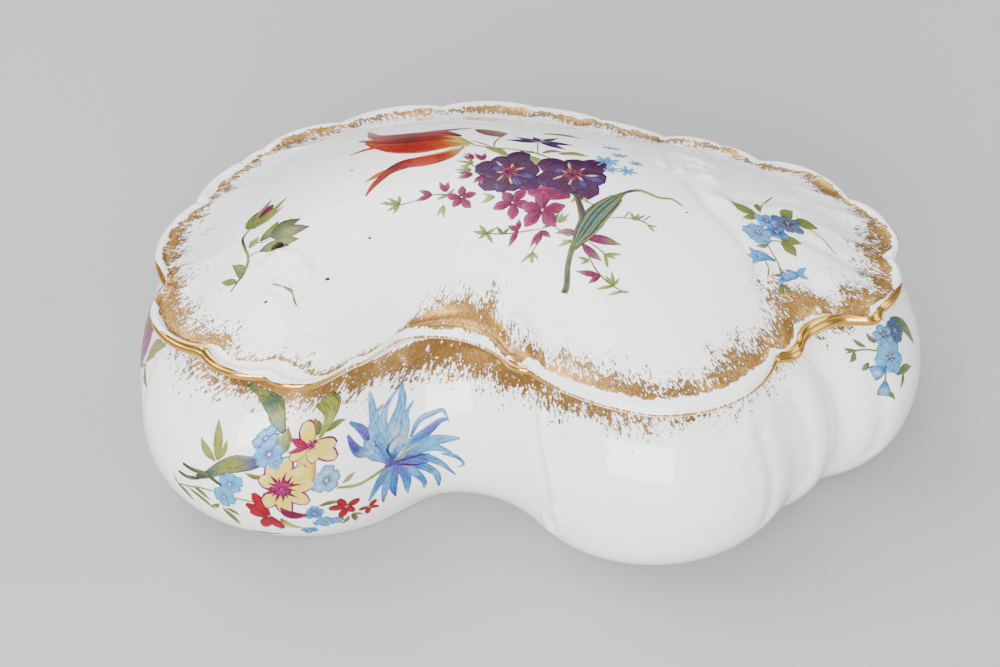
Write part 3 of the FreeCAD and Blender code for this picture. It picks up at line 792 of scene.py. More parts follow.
def blossom(centre, radius, count, inks, spin=0.0, squash=1.0, width=0.42, shape=ROUND_PETAL, edge=None,
            veins=0.8, lift=1, uneven=0.10, inner=0.08):
    """A flower of like petals round its centre, the hidden ones first, squashed where it turns away."""
    centre = np.array(centre, float)
    for petal in range(count):
        turn = math.radians(spin) + math.tau * petal / count
        grown = radius * (1 + uneven * math.sin(petal * 2.4 + spin))
        aim = np.array([math.cos(turn), math.sin(turn) * squash])
        sideways = np.array([-aim[1], aim[0]]) * 0.06 * math.sin(petal * 1.7 + spin)
        narrowed = radius * width * (0.55 + 0.45 * squash if abs(math.cos(turn)) > 0.6 else 1.0)
        path = [centre + aim * grown * inner, centre + (aim * 0.55 + sideways) * grown,
                centre + aim * grown]
        stroke(path, narrowed, inks, shape, edge=edge, veins=veins, lift=lift + petal % 2)


def stamens(centre, spread_mm, count, inks, lift=4, size=0.16, squash=1.0):
    """Dots of colour in a flower's heart, set in a sunflower spiral."""
    for dot in range(count):
        reach, turn = spread_mm * math.sqrt((dot + 0.5) / count), dot * 2.39996
        place = np.array(centre) + reach * np.array([math.cos(turn), math.sin(turn) * squash])
        tone = inks[dot % len(inks)]
        stroke([place - (size * 0.7, 0), place + (size * 0.7, 0)], size, [tone, tone], (0.7, 1.0, 0.7),
               veins=0, lift=lift)


def wisps(root, tips, width, inks, lift=1, veins=0.3):
    """Small pointed leaves or petals that spread from one place."""
    for tip in tips:
        stroke([root, tip], width, inks, POINTED_PETAL, veins=veins, lift=lift)


def finished_painting(name, canvas, body, material):
    """Makes the strokes so far into one piece of enamel on a body, and starts a new painting."""
    points, faces, tints, ways, veins = [], [], [], [], []
    for one in film:
        steps, columns = one["flat"].shape[:2]
        at, normal = canvas(one["flat"].reshape(-1, 2))
        crown = 1 - np.abs(one["across"]).ravel() ** 5
        depth = -SUNK + (FIRST_COAT + LATER_COAT * one["lift"]) * crown
        first = sum(len(block) for block in points)
        points.append(at + normal * depth[:, None])
        index = first + np.arange(steps * columns).reshape(steps, columns)
        faces += np.stack(
            [index[:-1, :-1], index[1:, :-1], index[1:, 1:], index[:-1, 1:]], -1
        ).reshape(-1, 4).tolist()
        faces += np.stack([index[:-1, 0], index[:-1, -1], index[1:, -1], index[1:, 0]], -1).tolist()
        faces += [index[0].tolist(), index[-1, ::-1].tolist()]
        tints.append(one["colour"].reshape(-1, 3))
        ways.append(one["way"].reshape(-1, 3))
        veins.append(one["veins"].ravel())
    film.clear()
    mesh = bpy.data.meshes.new(name)
    mesh.from_pydata((np.concatenate(points) * MM).tolist(), [], faces)
    tints = np.concatenate(tints)
    mesh.color_attributes.new("paint", "FLOAT_COLOR", "POINT").data.foreach_set(
        "color", np.concatenate([tints, np.ones((len(tints), 1))], 1).ravel())
    mesh.attributes.new("stroke_way", "FLOAT_VECTOR", "POINT").data.foreach_set(
        "vector", np.concatenate(ways).ravel())
    mesh.attributes.new("veining", "FLOAT", "POINT").data.foreach_set("value", np.concatenate(veins))
    mesh.shade_smooth()
    mesh.materials.append(material)
    piece = bpy.data.objects.new(name, mesh)
    bpy.context.scene.collection.objects.link(piece)
    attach(piece, body)


def enamel_group():
    """Brushed enamel: bristle streaks and fine veins along each stroke, and colour thinned in places."""
    tree = bpy.data.node_groups.new("brushed_enamel", "ShaderNodeTree")
    socket(tree, "NodeSocketColor", "Paint", (0.5, 0.5, 0.5, 1))
    socket(tree, "NodeSocketVector", "Stroke Way", (0, 0, 0))
    socket(tree, "NodeSocketFloat", "Veining", 0.5)
    socket(tree, "NodeSocketColor", "Colour", way="OUTPUT")
    socket(tree, "NodeSocketFloat", "Film", way="OUTPUT")
    given, result = tree.nodes.new("NodeGroupInput"), tree.nodes.new("NodeGroupOutput")
    way = given.outputs["Stroke Way"]
    paint = node(tree, "ShaderNodeHueSaturation", _Saturation=1.12, _Value=0.60,
                 _Color=given.outputs["Paint"]).outputs[0]
    drawn = node(tree, "ShaderNodeVectorMath", operation="MULTIPLY", _0=way, _1=(0.45, 4.6, 1.0)).outputs[0]
    hair = node(tree, "ShaderNodeTexNoise", _Vector=drawn, _Scale=1.0, _Detail=3.0,
                _Roughness=0.65).outputs[0]
    brushed = node(tree, "ShaderNodeVectorMath", operation="MULTIPLY", _0=way,
                   _1=(0.8, 2.0, 1.7)).outputs[0]
    wash = node(tree, "ShaderNodeTexNoise", _Vector=brushed, _Scale=1.0, _Detail=2.0).outputs[0]
    veined = maths(tree, "MULTIPLY", spread(tree, hair, 0.46, 0.62), given.outputs["Veining"])
    deeper = blended(tree, 1.0, paint, (0.42, 0.34, 0.42, 1), way="MULTIPLY")
    colour = blended(tree, veined, paint, deeper)
    thinned = maths(tree, "MULTIPLY", spread(tree, wash, 0.58, 0.80, 0.0, 0.12), given.outputs["Veining"])
    colour = blended(tree, thinned, colour, blended(tree, 0.4, paint, (0.80, 0.80, 0.80, 1)))
    tree.links.new(colour, result.inputs["Colour"])
    tree.links.new(maths(tree, "ADD", hair, wash), result.inputs["Film"])
    return tree


brushed_enamel = enamel_group()


def enamel(name):
    """Glossy overglaze colour that takes its hue from the strokes."""
    material = bpy.data.materials.new(name)
    material.use_nodes = True
    tree = material.node_tree
    shader = tree.nodes["Principled BSDF"]
    group = node(tree, "ShaderNodeGroup", node_tree=brushed_enamel)
    paint = node(tree, "ShaderNodeAttribute", attribute_name="paint")
    way = node(tree, "ShaderNodeAttribute", attribute_name="stroke_way")
    veining = node(tree, "ShaderNodeAttribute", attribute_name="veining")
    tree.links.new(paint.outputs["Color"], group.inputs["Paint"])
    tree.links.new(way.outputs["Vector"], group.inputs["Stroke Way"])
    tree.links.new(veining.outputs["Fac"], group.inputs["Veining"])
    tree.links.new(group.outputs["Colour"], shader.inputs["Base Color"])
    relief = node(tree, "ShaderNodeBump", _Strength=0.25, _Distance=0.00005, _Height=group.outputs["Film"])
    tree.links.new(relief.outputs[0], shader.inputs["Normal"])
    shader.inputs["Roughness"].default_value = 0.22
    shader.inputs["Specular IOR Level"].default_value = 0.28
    shader.inputs["IOR"].default_value = 1.5
    return material


lid_enamel = enamel("lid_enamel")

# The palette: greens and browns, reds, purples, pinks, then blues.
OLIVE, MOSS, DARK_LEAF = ink(152, 158, 88), ink(106, 116, 60), ink(60, 70, 40)
PALE_LEAF, BLUE_LEAF, UMBER = ink(180, 184, 118), ink(70, 104, 86), ink(70, 54, 58)
FLAME, SCARLET, CRIMSON = ink(204, 60, 30), ink(170, 40, 24), ink(122, 26, 28)
APRICOT, STRAW = ink(206, 108, 70), ink(208, 196, 116)
PLUM, VIOLET, INDIGO = ink(80, 14, 56), ink(72, 34, 92), ink(84, 84, 160)
GRAPE, CREAM = ink(72, 16, 64), ink(240, 232, 186)
MAGENTA, ROSE, BLUSH, ASH = ink(128, 6, 72), ink(158, 24, 100), ink(204, 126, 166), ink(146, 110, 120)
SKY, AZURE, SLATE = ink(138, 202, 246), ink(92, 146, 216), ink(100, 108, 142)

# The tulip, lying to the left with its back petals first.
stroke([(-27, 27.2), (-21.5, 27), (-17, 27.6), (-13.5, 28.2)], 1.1, [CRIMSON, SCARLET, CRIMSON], lift=1)
stroke([(-18, 21), (-22.5, 24.6), (-29, 25.4), (-35, 26.8), (-40, 30), (-42.2, 38)], 2.6,
       [CRIMSON, SCARLET, CRIMSON, SCARLET, FLAME], (0.4, 0.9, 1, 0.9, 0.6, 0.12), CRIMSON, 0.9, 2)
stroke([(-16.5, 17.5), (-22, 21), (-30, 22.4), (-37, 24.4), (-44.2, 28.6)], 3.6,
       [STRAW, SCARLET, CRIMSON, SCARLET, APRICOT], (0.25, 0.9, 1, 0.75, 0.1), CRIMSON, 1, 3)
stroke([(-15.6, 15.6), (-21, 17.4), (-28.5, 16.8), (-34.5, 18.2), (-39.5, 22), (-42.4, 25.4)], 3.7,
       [STRAW, APRICOT, SCARLET, SCARLET, FLAME, APRICOT], (0.22, 0.86, 1, 0.85, 0.5, 0.1), SCARLET, 1, 4)
stroke([(-36.5, 20), (-40, 20.6), (-43, 20.2), (-46, 18.8)], 0.9, [SCARLET, FLAME, CRIMSON], lift=5)
stroke([(-17, 14.6), (-20.6, 11.2), (-26, 9.5), (-31, 9.2), (-34.6, 7.4), (-37.2, 4.6), (-39.4, 1.6),
        (-41, -1.6)], 2.3, [STRAW, SCARLET, FLAME, CRIMSON, SCARLET, FLAME],
       (0.16, 0.7, 0.95, 1, 0.9, 0.5, 0.4, 0.1), CRIMSON, 1, 5)
stroke([(-18.6, 14.4), (-23, 12.2), (-29, 11.2)], 0.6, [STRAW, APRICOT, FLAME], veins=0.4, lift=7)
stroke([(-36, 7.6), (-38.6, 5.6), (-41.4, 3.6)], 0.9, [FLAME, APRICOT, APRICOT], veins=0.5, lift=4)
stroke([(-14.8, 16), (-18, 18), (-22.5, 19)], 1.2, [OLIVE, STRAW, APRICOT], veins=0.6, lift=7)
stroke([(-16, 17.6), (-19, 20.6), (-22.6, 22.2)], 0.8, [OLIVE, STRAW, APRICOT], veins=0.6, lift=6)
stroke([(-14.2, 26.4), (-10, 23.2), (-6.6, 21.4)], 2.6, [CRIMSON, ink(150, 92, 84), ink(150, 132, 118)],
       (0.25, 0.8, 1, 1, 0.75), CRIMSON, 0.9, 2)

# Stems and small leaves behind the flowers.
stroke([(-15, 15.6), (-9.5, 13.6), (-3, 12.2), (1, 10.8), (5, 8.2)], 0.42, [MOSS, OLIVE, DARK_LEAF],
       EVEN_LINE, lift=2)
stroke([(-7.4, 20.6), (-9.2, 16.6), (-9.4, 13.8)], 0.34, [OLIVE, MOSS], EVEN_LINE)
stroke([(-15, 18), (-11.5, 15.4), (-9.5, 13.6)], 0.45, [OLIVE, MOSS], lift=1)
leaf((-11.5, 13.8), (-5.5, 8.6), 1.3, [OLIVE, OLIVE], bend=0.1, rib=DARK_LEAF)
leaf((2.5, 10.8), (8, 11.6), 0.9, [MOSS, OLIVE], bend=0.15)
leaf((6.5, 10.6), (14.5, 10.2), 1.1, [OLIVE, OLIVE], bend=0.12, rib=MOSS)
leaf((-1, 9.6), (4, 6.5), 1.7, [OLIVE, PALE_LEAF], bend=-0.15)
leaf((2.4, 24.8), (12.4, 22.4), 1.5, [OLIVE, DARK_LEAF], bend=0.12, rib=UMBER)
stroke([(12, 24), (17, 21), (20, 16.5)], 0.16, [DARK_LEAF, OLIVE], EVEN_LINE)
stroke([(1.6, 16.8), (1.5, 10.4)], 0.24, [MOSS, OLIVE], EVEN_LINE)

# The larkspur floret seen from the side, and the sprays of forget-me-not.
for tip, tone in (
    ((-6.4, 18), VIOLET), ((-4, 20.2), INDIGO), ((0.5, 21), VIOLET), ((6.8, 20.8), VIOLET),
    ((10.6, 16.2), PLUM), ((8.6, 13.2), INDIGO),
):
    stroke([(2, 17.4), tip], 1.25, [PLUM, VIOLET, tone], veins=0.9, lift=2)
wisps((2.2, 17.2), [(-0.5, 18), (5, 17.4), (3.6, 19.4)], 0.35, [OLIVE, INDIGO], lift=4)
for centre, radius, flatness in (
    ((18.6, 8.6), 3.2, 0.9), ((22, 12.8), 2.2, 0.6), ((20, 17.2), 2.4, 0.35), ((23.6, 4.8), 2.4, 0.9),
    ((19.8, 4.8), 2, 0.8), ((26, 9.4), 1.8, 0.7),
):
    blossom(centre, radius, 7, [AZURE, SKY, SKY], spin=radius * 40, squash=flatness, width=0.27, lift=3,
            veins=0.5)
    stamens(centre, radius * 0.16, 3, [STRAW, OLIVE], size=0.14, lift=6)
stroke([(24.5, 12), (26.2, 9.4)], 0.14, [OLIVE, OLIVE], EVEN_LINE)


def anemone(centre, radius, squash, spin):
    """A full purple flower: broad dark petals, bluer ones over them, and pale stamens round a yellow eye."""
    blossom(centre, radius, 7, [PLUM, GRAPE, GRAPE], spin, squash, 0.44, edge=VIOLET, veins=0.8, lift=3,
            uneven=0.16)
    blossom(centre, radius * 0.84, 5, [PLUM, GRAPE, VIOLET], spin + 26, squash, 0.36, edge=GRAPE, veins=0.9,
            lift=5)
    for turn, reach in ((-20, 0.86), (-62, 0.74), (150, 0.6)):
        aim = radius * reach * np.array([math.cos(math.radians(turn)),
                                         squash * math.sin(math.radians(turn))])
        stroke([np.array(centre) + aim * 0.35, np.array(centre) + aim], 1.2, [VIOLET, INDIGO, VIOLET],
               ROUND_PETAL, PLUM, 0.9, 7)
    blossom(centre, radius * 0.5, 7, [ink(140, 110, 120), CREAM, ink(176, 168, 178)], spin + 10, squash,
            0.12, edge=None, veins=0.9, lift=8, uneven=0.3, inner=0.4)
    blossom(centre, radius * 0.36, 9, [PLUM, ink(150, 60, 90), PLUM], spin, squash, 0.2, veins=0.8, lift=9)
    stamens(centre, radius * 0.26, 20, [STRAW, ink(190, 84, 96), ink(222, 178, 110)], lift=10, size=0.2,
            squash=squash)


anemone((-5.6, 2.8), 8.2, 0.96, 12)
anemone((10.4, 1.6), 9.4, 0.84, 40)

# The phlox below them: star flowers, then buds on their sprigs.
stroke([(9.5, -6.5), (3.5, -5), (-1, -4.4)], 2.6, [MAGENTA, MAGENTA, ROSE], ROUND_PETAL, BLUSH, 0.9, 2)
PHLOX = [MAGENTA, MAGENTA, ROSE, ink(190, 86, 140)]


def phlox(centre, radius, spin, squash=0.95, lift=5):
    """A five-petalled star, deep at the eye and pale at the rim."""
    blossom(centre, radius, 5, PHLOX, spin, squash, 0.34, (0.3, 0.6, 0.95, 1, 0.7, 0.12), ASH, 0.9, lift)
    blossom(centre, radius * 0.8, 5, [MAGENTA, MAGENTA, ROSE], spin, squash, 0.12, veins=0.6, lift=lift + 2)
    stamens(centre, 0.2, 2, [ink(240, 226, 236)], lift=lift + 5, size=0.22)


phlox((-4.6, -7.8), 4.9, 52)
phlox((2.6, -10.6), 6, 12, lift=8)
phlox((-17.2, -4.8), 3.8, 88)
for root, tips in (
    ((-24.6, -3.2), [(-28.6, -4.8), (-27.8, -1.4)]), ((-21.2, -2.6), [(-22.8, 0.8), (-20.6, 0.6)]),
    ((-12.2, 8), [(-14.2, 11.2), (-11.6, 11)]), ((-14.6, 8.6), [(-17.2, 10.2), (-15.8, 11.6)]),
    ((-14.6, 2.8), [(-18.2, 3.8), (-17.8, 1.4)]), ((-12.2, 2), [(-14.4, -0.4), (-12.4, -1)]),
    ((-3.4, -15.6), [(-5.6, -19.6), (-5.8, -14.2), (-3, -12.8)]),
    ((2.4, -16.6), [(-0.4, -20.4), (4.6, -18.6), (1, -20.6)]),
    ((16.4, -30.4), [(10.6, -28.4), (13.6, -32)]),
):
    for tip in tips:
        stroke([root, tip], 0.95, [MAGENTA, MAGENTA, BLUSH], POINTED_PETAL, ASH, 0.9, 3)
        stroke([root, (np.array(root) + tip) / 2], 0.4, [MAGENTA, MAGENTA], lift=5)
for path in (
    [(-17, -5), (-21, -3.5), (-24.5, -3.2)], [(-28.5, -4.6), (-32.5, -5.5), (-36.5, -4.2)],
    [(2.5, -16), (-1.5, -16.2), (-6.5, -16.2), (-11, -15.4)], [(1, -20.4), (0, -22.2), (0.4, -24.4)],
    [(-9.5, 4), (-13.5, 5), (-15.5, 7.5)], [(5.5, -15.5), (8.5, -18.5), (11, -18)],
    [(19, -13.6), (22.5, -13.4), (27, -14.2), (29.6, -16.6)], [(22.5, -13.4), (24, -11)],
    [(27, -14.2), (29, -12)], [(12.5, -21.5), (14, -25.5), (16, -29.5), (19, -33), (22, -35.2)],
    [(13.5, -20.5), (17.5, -24.5), (18, -28)], [(10.5, -6.5), (15.5, -9.5)],
):
    stroke(path, 0.24, [OLIVE, MOSS, UMBER], EVEN_LINE, veins=0.3, lift=2)
for root, tips, tone in (
    ((-32.6, -5.4), [(-35.6, -7.2), (-34, -8.2), (-32.6, -2.6), (-35.6, -3), (-37.6, -4.6)], OLIVE),
    ((-21.6, -6.6), [(-23.2, -9.6), (-21.6, -10.2), (-22.6, -8.8)], PALE_LEAF),
    ((-20.6, -3.6), [(-23.4, -4.8), (-19, -1.8)], OLIVE),
    ((-11, -15.4), [(-13, -16.4), (-12.8, -13), (-9.4, -18), (-8.6, -14.4), (-14.4, -14.4)], OLIVE),
    ((-7, -16.2), [(-8.6, -14), (-5.4, -14.8)], MOSS),
    ((0.2, -22), [(-2.6, -23.8), (-0.2, -24.6), (1.6, -23.8)], PALE_LEAF),
    ((6.5, -14.6), [(7.6, -11.6), (8.8, -13.8), (9.2, -12.2)], OLIVE),
    ((-9, -5.6), [(-12.2, -4), (-11.8, -5.8), (-12.8, -7.2)], PALE_LEAF),
    ((25, -14), [(26.2, -11.6), (27.8, -12), (24.2, -11.4)], OLIVE),
    ((28.4, -15.4), [(30.6, -15.6), (29.8, -17.4)], PALE_LEAF),
    ((19.6, -33.4), [(15.4, -33.8), (19.2, -29.4), (17.6, -30.4), (21, -31.4)], OLIVE),
    ((21.6, -35), [(18.2, -35.6), (23.4, -35.4)], PALE_LEAF),
    ((13.8, -26), [(11.2, -24.8), (11.8, -26.8)], OLIVE),
    ((17.6, -24.6), [(21.8, -24.8), (18.4, -28.6), (20.4, -26)], OLIVE),
    ((9.6, -20.2), [(6.2, -21.4), (7.4, -20)], PALE_LEAF), ((12, -5.6), [(9.4, -8.8), (14, -8.4)], OLIVE),
    ((-14.6, 7), [(-18.8, 8.4), (-17.8, 5.4), (-16.8, 11.8)], OLIVE),
    ((-15, 4.4), [(-19.2, 4.8), (-18.4, 1.4), (-17.6, 6.4)], OLIVE),
    ((5, -15), [(6.8, -11.4), (2.6, -15.8)], MOSS),
):
    wisps(root, tips, 0.62, [MOSS, tone, tone], lift=3)
stroke([(12.6, -19.4), (16.5, -20.2), (21.6, -22)], 1.5, [MAGENTA, ink(138, 60, 104), OLIVE], LEAF_BLADE,
       UMBER, 1, 4)
stroke([(12.2, -21.2), (14.2, -23.8), (16.8, -26.4)], 1.2, [MAGENTA, ink(138, 60, 104), OLIVE], LEAF_BLADE,
       UMBER, 1, 5)
stroke([(11.2, -18), (8.6, -17.4), (5.8, -17.6)], 1, [MAGENTA, ink(170, 110, 140), OLIVE], LEAF_BLADE,
       OLIVE, 1, 4)

# The thick stem and the striped leaf folded round it, its tip curling away to the right.
stroke([(10.6, -5), (12, -10.5), (12.4, -15), (11, -19), (9.6, -23), (8.7, -27), (8.4, -31.5),
        (7.8, -33.4)], 1.05, [DARK_LEAF, UMBER, BLUE_LEAF, MOSS, BLUE_LEAF, UMBER],
       (0.6, 0.8, 1, 1, 0.9, 0.7, 0.75, 0.9), OLIVE, 0.9, 7)
stroke([(10, -22.5), (12.6, -18.2), (15.4, -13.4), (18.2, -9.6), (21, -6.4), (22.4, -4.8)], 3.3,
       [MOSS, BLUE_LEAF, ink(70, 112, 100), BLUE_LEAF, MOSS], (0.25, 0.75, 1, 0.95, 0.62, 0.2), OLIVE, 1, 9)
for shift, tone in (
    (-2.3, UMBER), (-1.7, OLIVE), (-1.1, UMBER), (-0.5, ink(96, 146, 168)), (0.1, UMBER), (0.7, OLIVE),
    (1.3, ink(96, 146, 168)), (1.9, UMBER), (2.4, OLIVE),
):
    stroke([(10.4 + shift * 0.15, -21.8), (12.9 + shift * 0.75, -18.0 - shift * 0.45),
            (15.6 + shift * 0.9, -13.4 - shift * 0.6), (18.4 + shift * 0.8, -9.6 - shift * 0.55),
            (21.0 + shift * 0.5, -6.6 - shift * 0.35)], 0.23, [tone, tone], EVEN_LINE, veins=0.2, lift=11)
stroke([(21.6, -6), (23.5, -4), (27, -3), (31, -4.8), (34.5, -4.8), (37.2, -6.8)], 0.62,
       [MOSS, UMBER, OLIVE, OLIVE, MOSS, OLIVE], (1, 0.9, 1, 0.7, 0.5, 0.35), OLIVE, 0.8, 8)
finished_painting("lid_bouquet", on_lid, "lid", lid_enamel)


# ---- Lid rosebud sprig -------------------------------------------------------------------------
# A single magenta bud with its sepals and a few small leaves, painted on the left side of the lid.

stroke([(-69.2, -3.6), (-71.4, -7), (-70.6, -11.5), (-69.4, -16), (-70.2, -20.5), (-73.2, -25.2)], 0.45,
       [MOSS, UMBER, OLIVE, MOSS, UMBER], EVEN_LINE, veins=0.4, lift=2)
stroke([(-69.6, -15.6), (-67.8, -14.6), (-66.4, -14.4)], 0.3, [MOSS, OLIVE], EVEN_LINE)
stroke([(-69.6, -9.6), (-66.6, -11.4), (-64, -11)], 0.25, [MOSS, OLIVE], EVEN_LINE)
stroke([(-69.8, -4.4), (-68, -0.6), (-64.8, 2.2)], 2.9, [MOSS, OLIVE, MOSS, PLUM], (0.5, 0.95, 1, 0.8, 0.3),
       DARK_LEAF, 1, 3)
stroke([(-67.6, -1), (-66.2, 1.2), (-64.6, 3.2)], 1.3, [PLUM, MAGENTA, ROSE], ROUND_PETAL, PLUM, 1, 6)
stroke([(-69.4, -3), (-67.4, 1.4), (-65, 6.4)], 1, [MOSS, OLIVE, PALE_LEAF], edge=DARK_LEAF, lift=5)
stroke([(-68.8, -4.4), (-65.4, -1), (-61, 5)], 1, [MOSS, OLIVE, OLIVE], edge=DARK_LEAF, lift=5)
stroke([(-68.6, -4.6), (-65.6, -2.6), (-61.8, 1)], 0.9, [MOSS, OLIVE, OLIVE], edge=DARK_LEAF, lift=4)
leaf((-66.8, -10.8), (-62.8, -4.8), 1.9, [UMBER, OLIVE, MOSS], bend=-0.1, rib=DARK_LEAF)
leaf((-64, -10.6), (-57, -6), 2.3, [BLUE_LEAF, MOSS, UMBER], bend=0.14, rib=DARK_LEAF, lift=3)
leaf((-63.8, -10.8), (-54.6, -9.4), 2.4, [BLUE_LEAF, OLIVE, UMBER], bend=0.05, rib=MOSS, lift=2)
leaf((-63, -11.2), (-57, -13), 1.9, [BLUE_LEAF, OLIVE, MOSS], bend=-0.1, rib=MOSS)
leaf((-66.6, -14.4), (-59.4, -14.6), 2.3, [BLUE_LEAF, OLIVE, UMBER], bend=0.1, rib=DARK_LEAF)
leaf((-69.4, -12.2), (-67.4, -8.8), 1.3, [OLIVE, PALE_LEAF])
leaf((-70.8, -22.4), (-73.4, -16.4), 1.6, [MOSS, OLIVE], bend=-0.15, rib=DARK_LEAF)
leaf((-71.8, -23), (-75.8, -20.8), 1.3, [MOSS, OLIVE])

# Worn gilding on the scroll beside it, and specks of kiln dirt burnt into the glaze.
for path, wide in (
    ([(-63, -25.8), (-61.4, -26.6), (-59.6, -27.2)], 0.4),
    ([(-60.2, -27), (-58.2, -28.6), (-57.4, -31)], 0.6), ([(-57.6, -30), (-57, -32), (-56, -33.4)], 0.4),
):
    stroke(path, wide, [ink(150, 128, 96), ink(172, 156, 120)], veins=1)
for place, wide in (
    ((-49.5, -25.6), 0.55), ((-39.6, -14.6), 0.4), ((-64.2, -31.2), 0.4), ((38, -9), 0.35),
    ((-45, 10), 0.4),
):
    stroke([np.array(place) - (wide, 0), np.array(place) + (wide, 0.2)], wide,
           [ink(92, 74, 52), ink(58, 46, 34)], (0.6, 1, 0.7))
finished_painting("lid_rosebud_sprig", on_lid, "lid", lid_enamel)


# ---- Lid bindweed sprig ------------------------------------------------------------------------
# Small blue and grey-lilac bells with narrow leaves and tendrils, painted on the right side of the lid.

for path in (
    [(54.5, -1.6), (57, -7), (57.6, -12), (58.8, -15), (60.6, -18.5), (61, -24)],
    [(56.6, -2), (58, 4), (60.5, 8.6)], [(66, -1), (71.5, -3.6), (75.4, -7.6)],
    [(57.6, -12), (61.5, -10.6), (63.5, -11.6)], [(56.6, -17), (57.8, -20), (57.4, -23)],
    [(59, -6), (62.5, -3), (66, 0)], [(60.8, -18.8), (62.6, -20.4)],
):
    stroke(path, 0.26, [MOSS, OLIVE, UMBER], EVEN_LINE, veins=0.3, lift=2)
for root, tip, wide in (
    ((55.6, -2.8), (48.6, -0.4), 1.6), ((55.6, -3), (52, -5.8), 1.2), ((56.4, -1.6), (56.2, 1.8), 1.1),
    ((62.8, -1.6), (65.2, 3.2), 1.9), ((65.4, -1.6), (71.4, -0.6), 2.6), ((61.6, -10.4), (66.8, -9), 1.7),
    ((61.4, -11), (65, -14), 2), ((60.8, -23.4), (60, -26.6), 0.9), ((61, -23.4), (63.4, -25.4), 0.9),
    ((58, -13), (55, -14.6), 0.8), ((61, -20.6), (58.8, -21.6), 0.7),
):
    leaf(root, tip, wide, [MOSS, OLIVE], bend=0.1, rib=DARK_LEAF, lift=2)
blossom((58, -4.6), 3, 5, [AZURE, SKY, SKY], 10, 0.85, 0.55, edge=AZURE, veins=0.9, lift=4)
blossom((63.4, -3.2), 4, 6, [SLATE, ink(112, 128, 158), SLATE], 40, 0.8, 0.5, edge=AZURE, veins=1, lift=3)
blossom((60.4, -7.8), 3, 5, [INDIGO, AZURE, SKY], 60, 0.8, 0.55, edge=INDIGO, veins=0.9, lift=5)
blossom((55.6, -10.2), 3.6, 7, [ink(150, 176, 214), SKY, SKY], 20, 0.9, 0.5, edge=AZURE, veins=0.9, lift=6)
for centre, heart in (
    ((58, -4.6), INDIGO), ((60.4, -7.8), INDIGO), ((55.6, -10.2), SLATE), ((63.4, -3.2), UMBER),
):
    blossom(centre, 1.3, 6, [heart, heart], 15, 0.85, 0.3, veins=0.5, lift=8)
    stamens(centre, 0.5, 4, [STRAW, CREAM], lift=10, size=0.22)
for path in (
    [(54.2, -17.6), (57, -17), (59.6, -17.2)], [(62.4, -20), (64, -19.4), (66, -18.2)],
    [(62.4, -20.2), (61.6, -21.6), (60.8, -22.6)],
):
    stroke(path[::-1], 1.7, [SLATE, AZURE, SKY, SKY], (0.2, 0.4, 0.75, 1, 0.9), INDIGO, 1, 4)
for tip in ((53, -15.4), (52.4, -18), (53.8, -20), (67.4, -16.4), (67.8, -19.2), (60, -24)):
    root = (55.2, -17.6) if tip[0] < 58 else (65, -18.6) if tip[0] > 62 else (61.2, -21.8)
    stroke([root, tip], 0.9, [AZURE, SKY], lift=5)
finished_painting("lid_bindweed_sprig", on_lid, "lid", lid_enamel)


# ---- Base bouquets -----------------------------------------------------------------------------
# The bellied front carries yellow narcissus with magenta eyes, a blue cornflower, forget-me-nots, red pinks
# and ribbon leaves. A bindweed spray sits on the right lobe and part of another flower on the far left.


def on_base(flat):
    """Points and normals of the bellied wall at (millimetres round it, millimetres up it) places."""
    column = np.interp(flat[:, 0] % belly_length, np.append(wall_run, belly_length), np.arange(AROUND + 1))
    row = np.interp(flat[:, 1], wall_climb, np.arange(len(wall_climb)))
    return surface_at(wall_face, wall_normals, row, column)


belly_length = wall_run[-1] + np.linalg.norm(belly_line[0] - belly_line[-1])
wall_face, wall_normals = base_grid[wall_rows], base_normals[wall_rows]
base_enamel = enamel("base_enamel")
LEMON, PALE_LEMON, CHERRY = ink(250, 232, 120), ink(255, 244, 166), ink(186, 34, 50)
DEEP_CHERRY, LILAC, POWDER = ink(134, 24, 44), ink(122, 106, 188), ink(188, 226, 255)

# Ribbon leaves, twigs and stems go down first.
stroke([(320, 55.4), (325, 54.2), (330, 51.8), (332.6, 48.8), (335.6, 45.4)], 2.2,
       [BLUE_LEAF, OLIVE, BLUE_LEAF, OLIVE, BLUE_LEAF], (0.2, 0.5, 1, 0.9, 0.3), MOSS, 1, 2)
leaf((338, 40.6), (336.2, 46.4), 2, [OLIVE, OLIVE], bend=0.1)
leaf((321.6, 37), (318.2, 46.6), 1.5, [OLIVE, PALE_LEAF], bend=-0.05, rib=MOSS)
leaf((321.8, 37), (322.6, 42.6), 0.9, [OLIVE, PALE_LEAF], bend=-0.1)
leaf((321.2, 36.6), (315.6, 41.2), 1.3, [OLIVE, PALE_LEAF], bend=0.05, rib=MOSS)
stroke([(334.5, 38.6), (330, 37.6), (326, 36.8), (322.4, 34.6), (319.4, 32.2), (316.4, 30.4)], 2.7,
       [SLATE, SLATE, OLIVE, OLIVE, BLUE_LEAF, UMBER], (0.3, 0.75, 1, 0.8, 0.45, 0.3), SLATE, 1, 3)
for path in (
    [(312, 32.4), (315, 32), (319.2, 32.2), (323.4, 30)], [(310.4, 29.2), (313.4, 29), (317, 30.2)],
):
    stroke(path, 0.7, [UMBER, MOSS, UMBER], EVEN_LINE, veins=1, lift=4)
for path in ([(321, 27.6), (317, 27.2), (312.4, 25.6), (309, 24.4)], [(321, 27.6), (326, 27), (332, 26.4)]):
    stroke(path, 0.32, [MOSS, OLIVE, MOSS], EVEN_LINE, veins=0.6, lift=3)
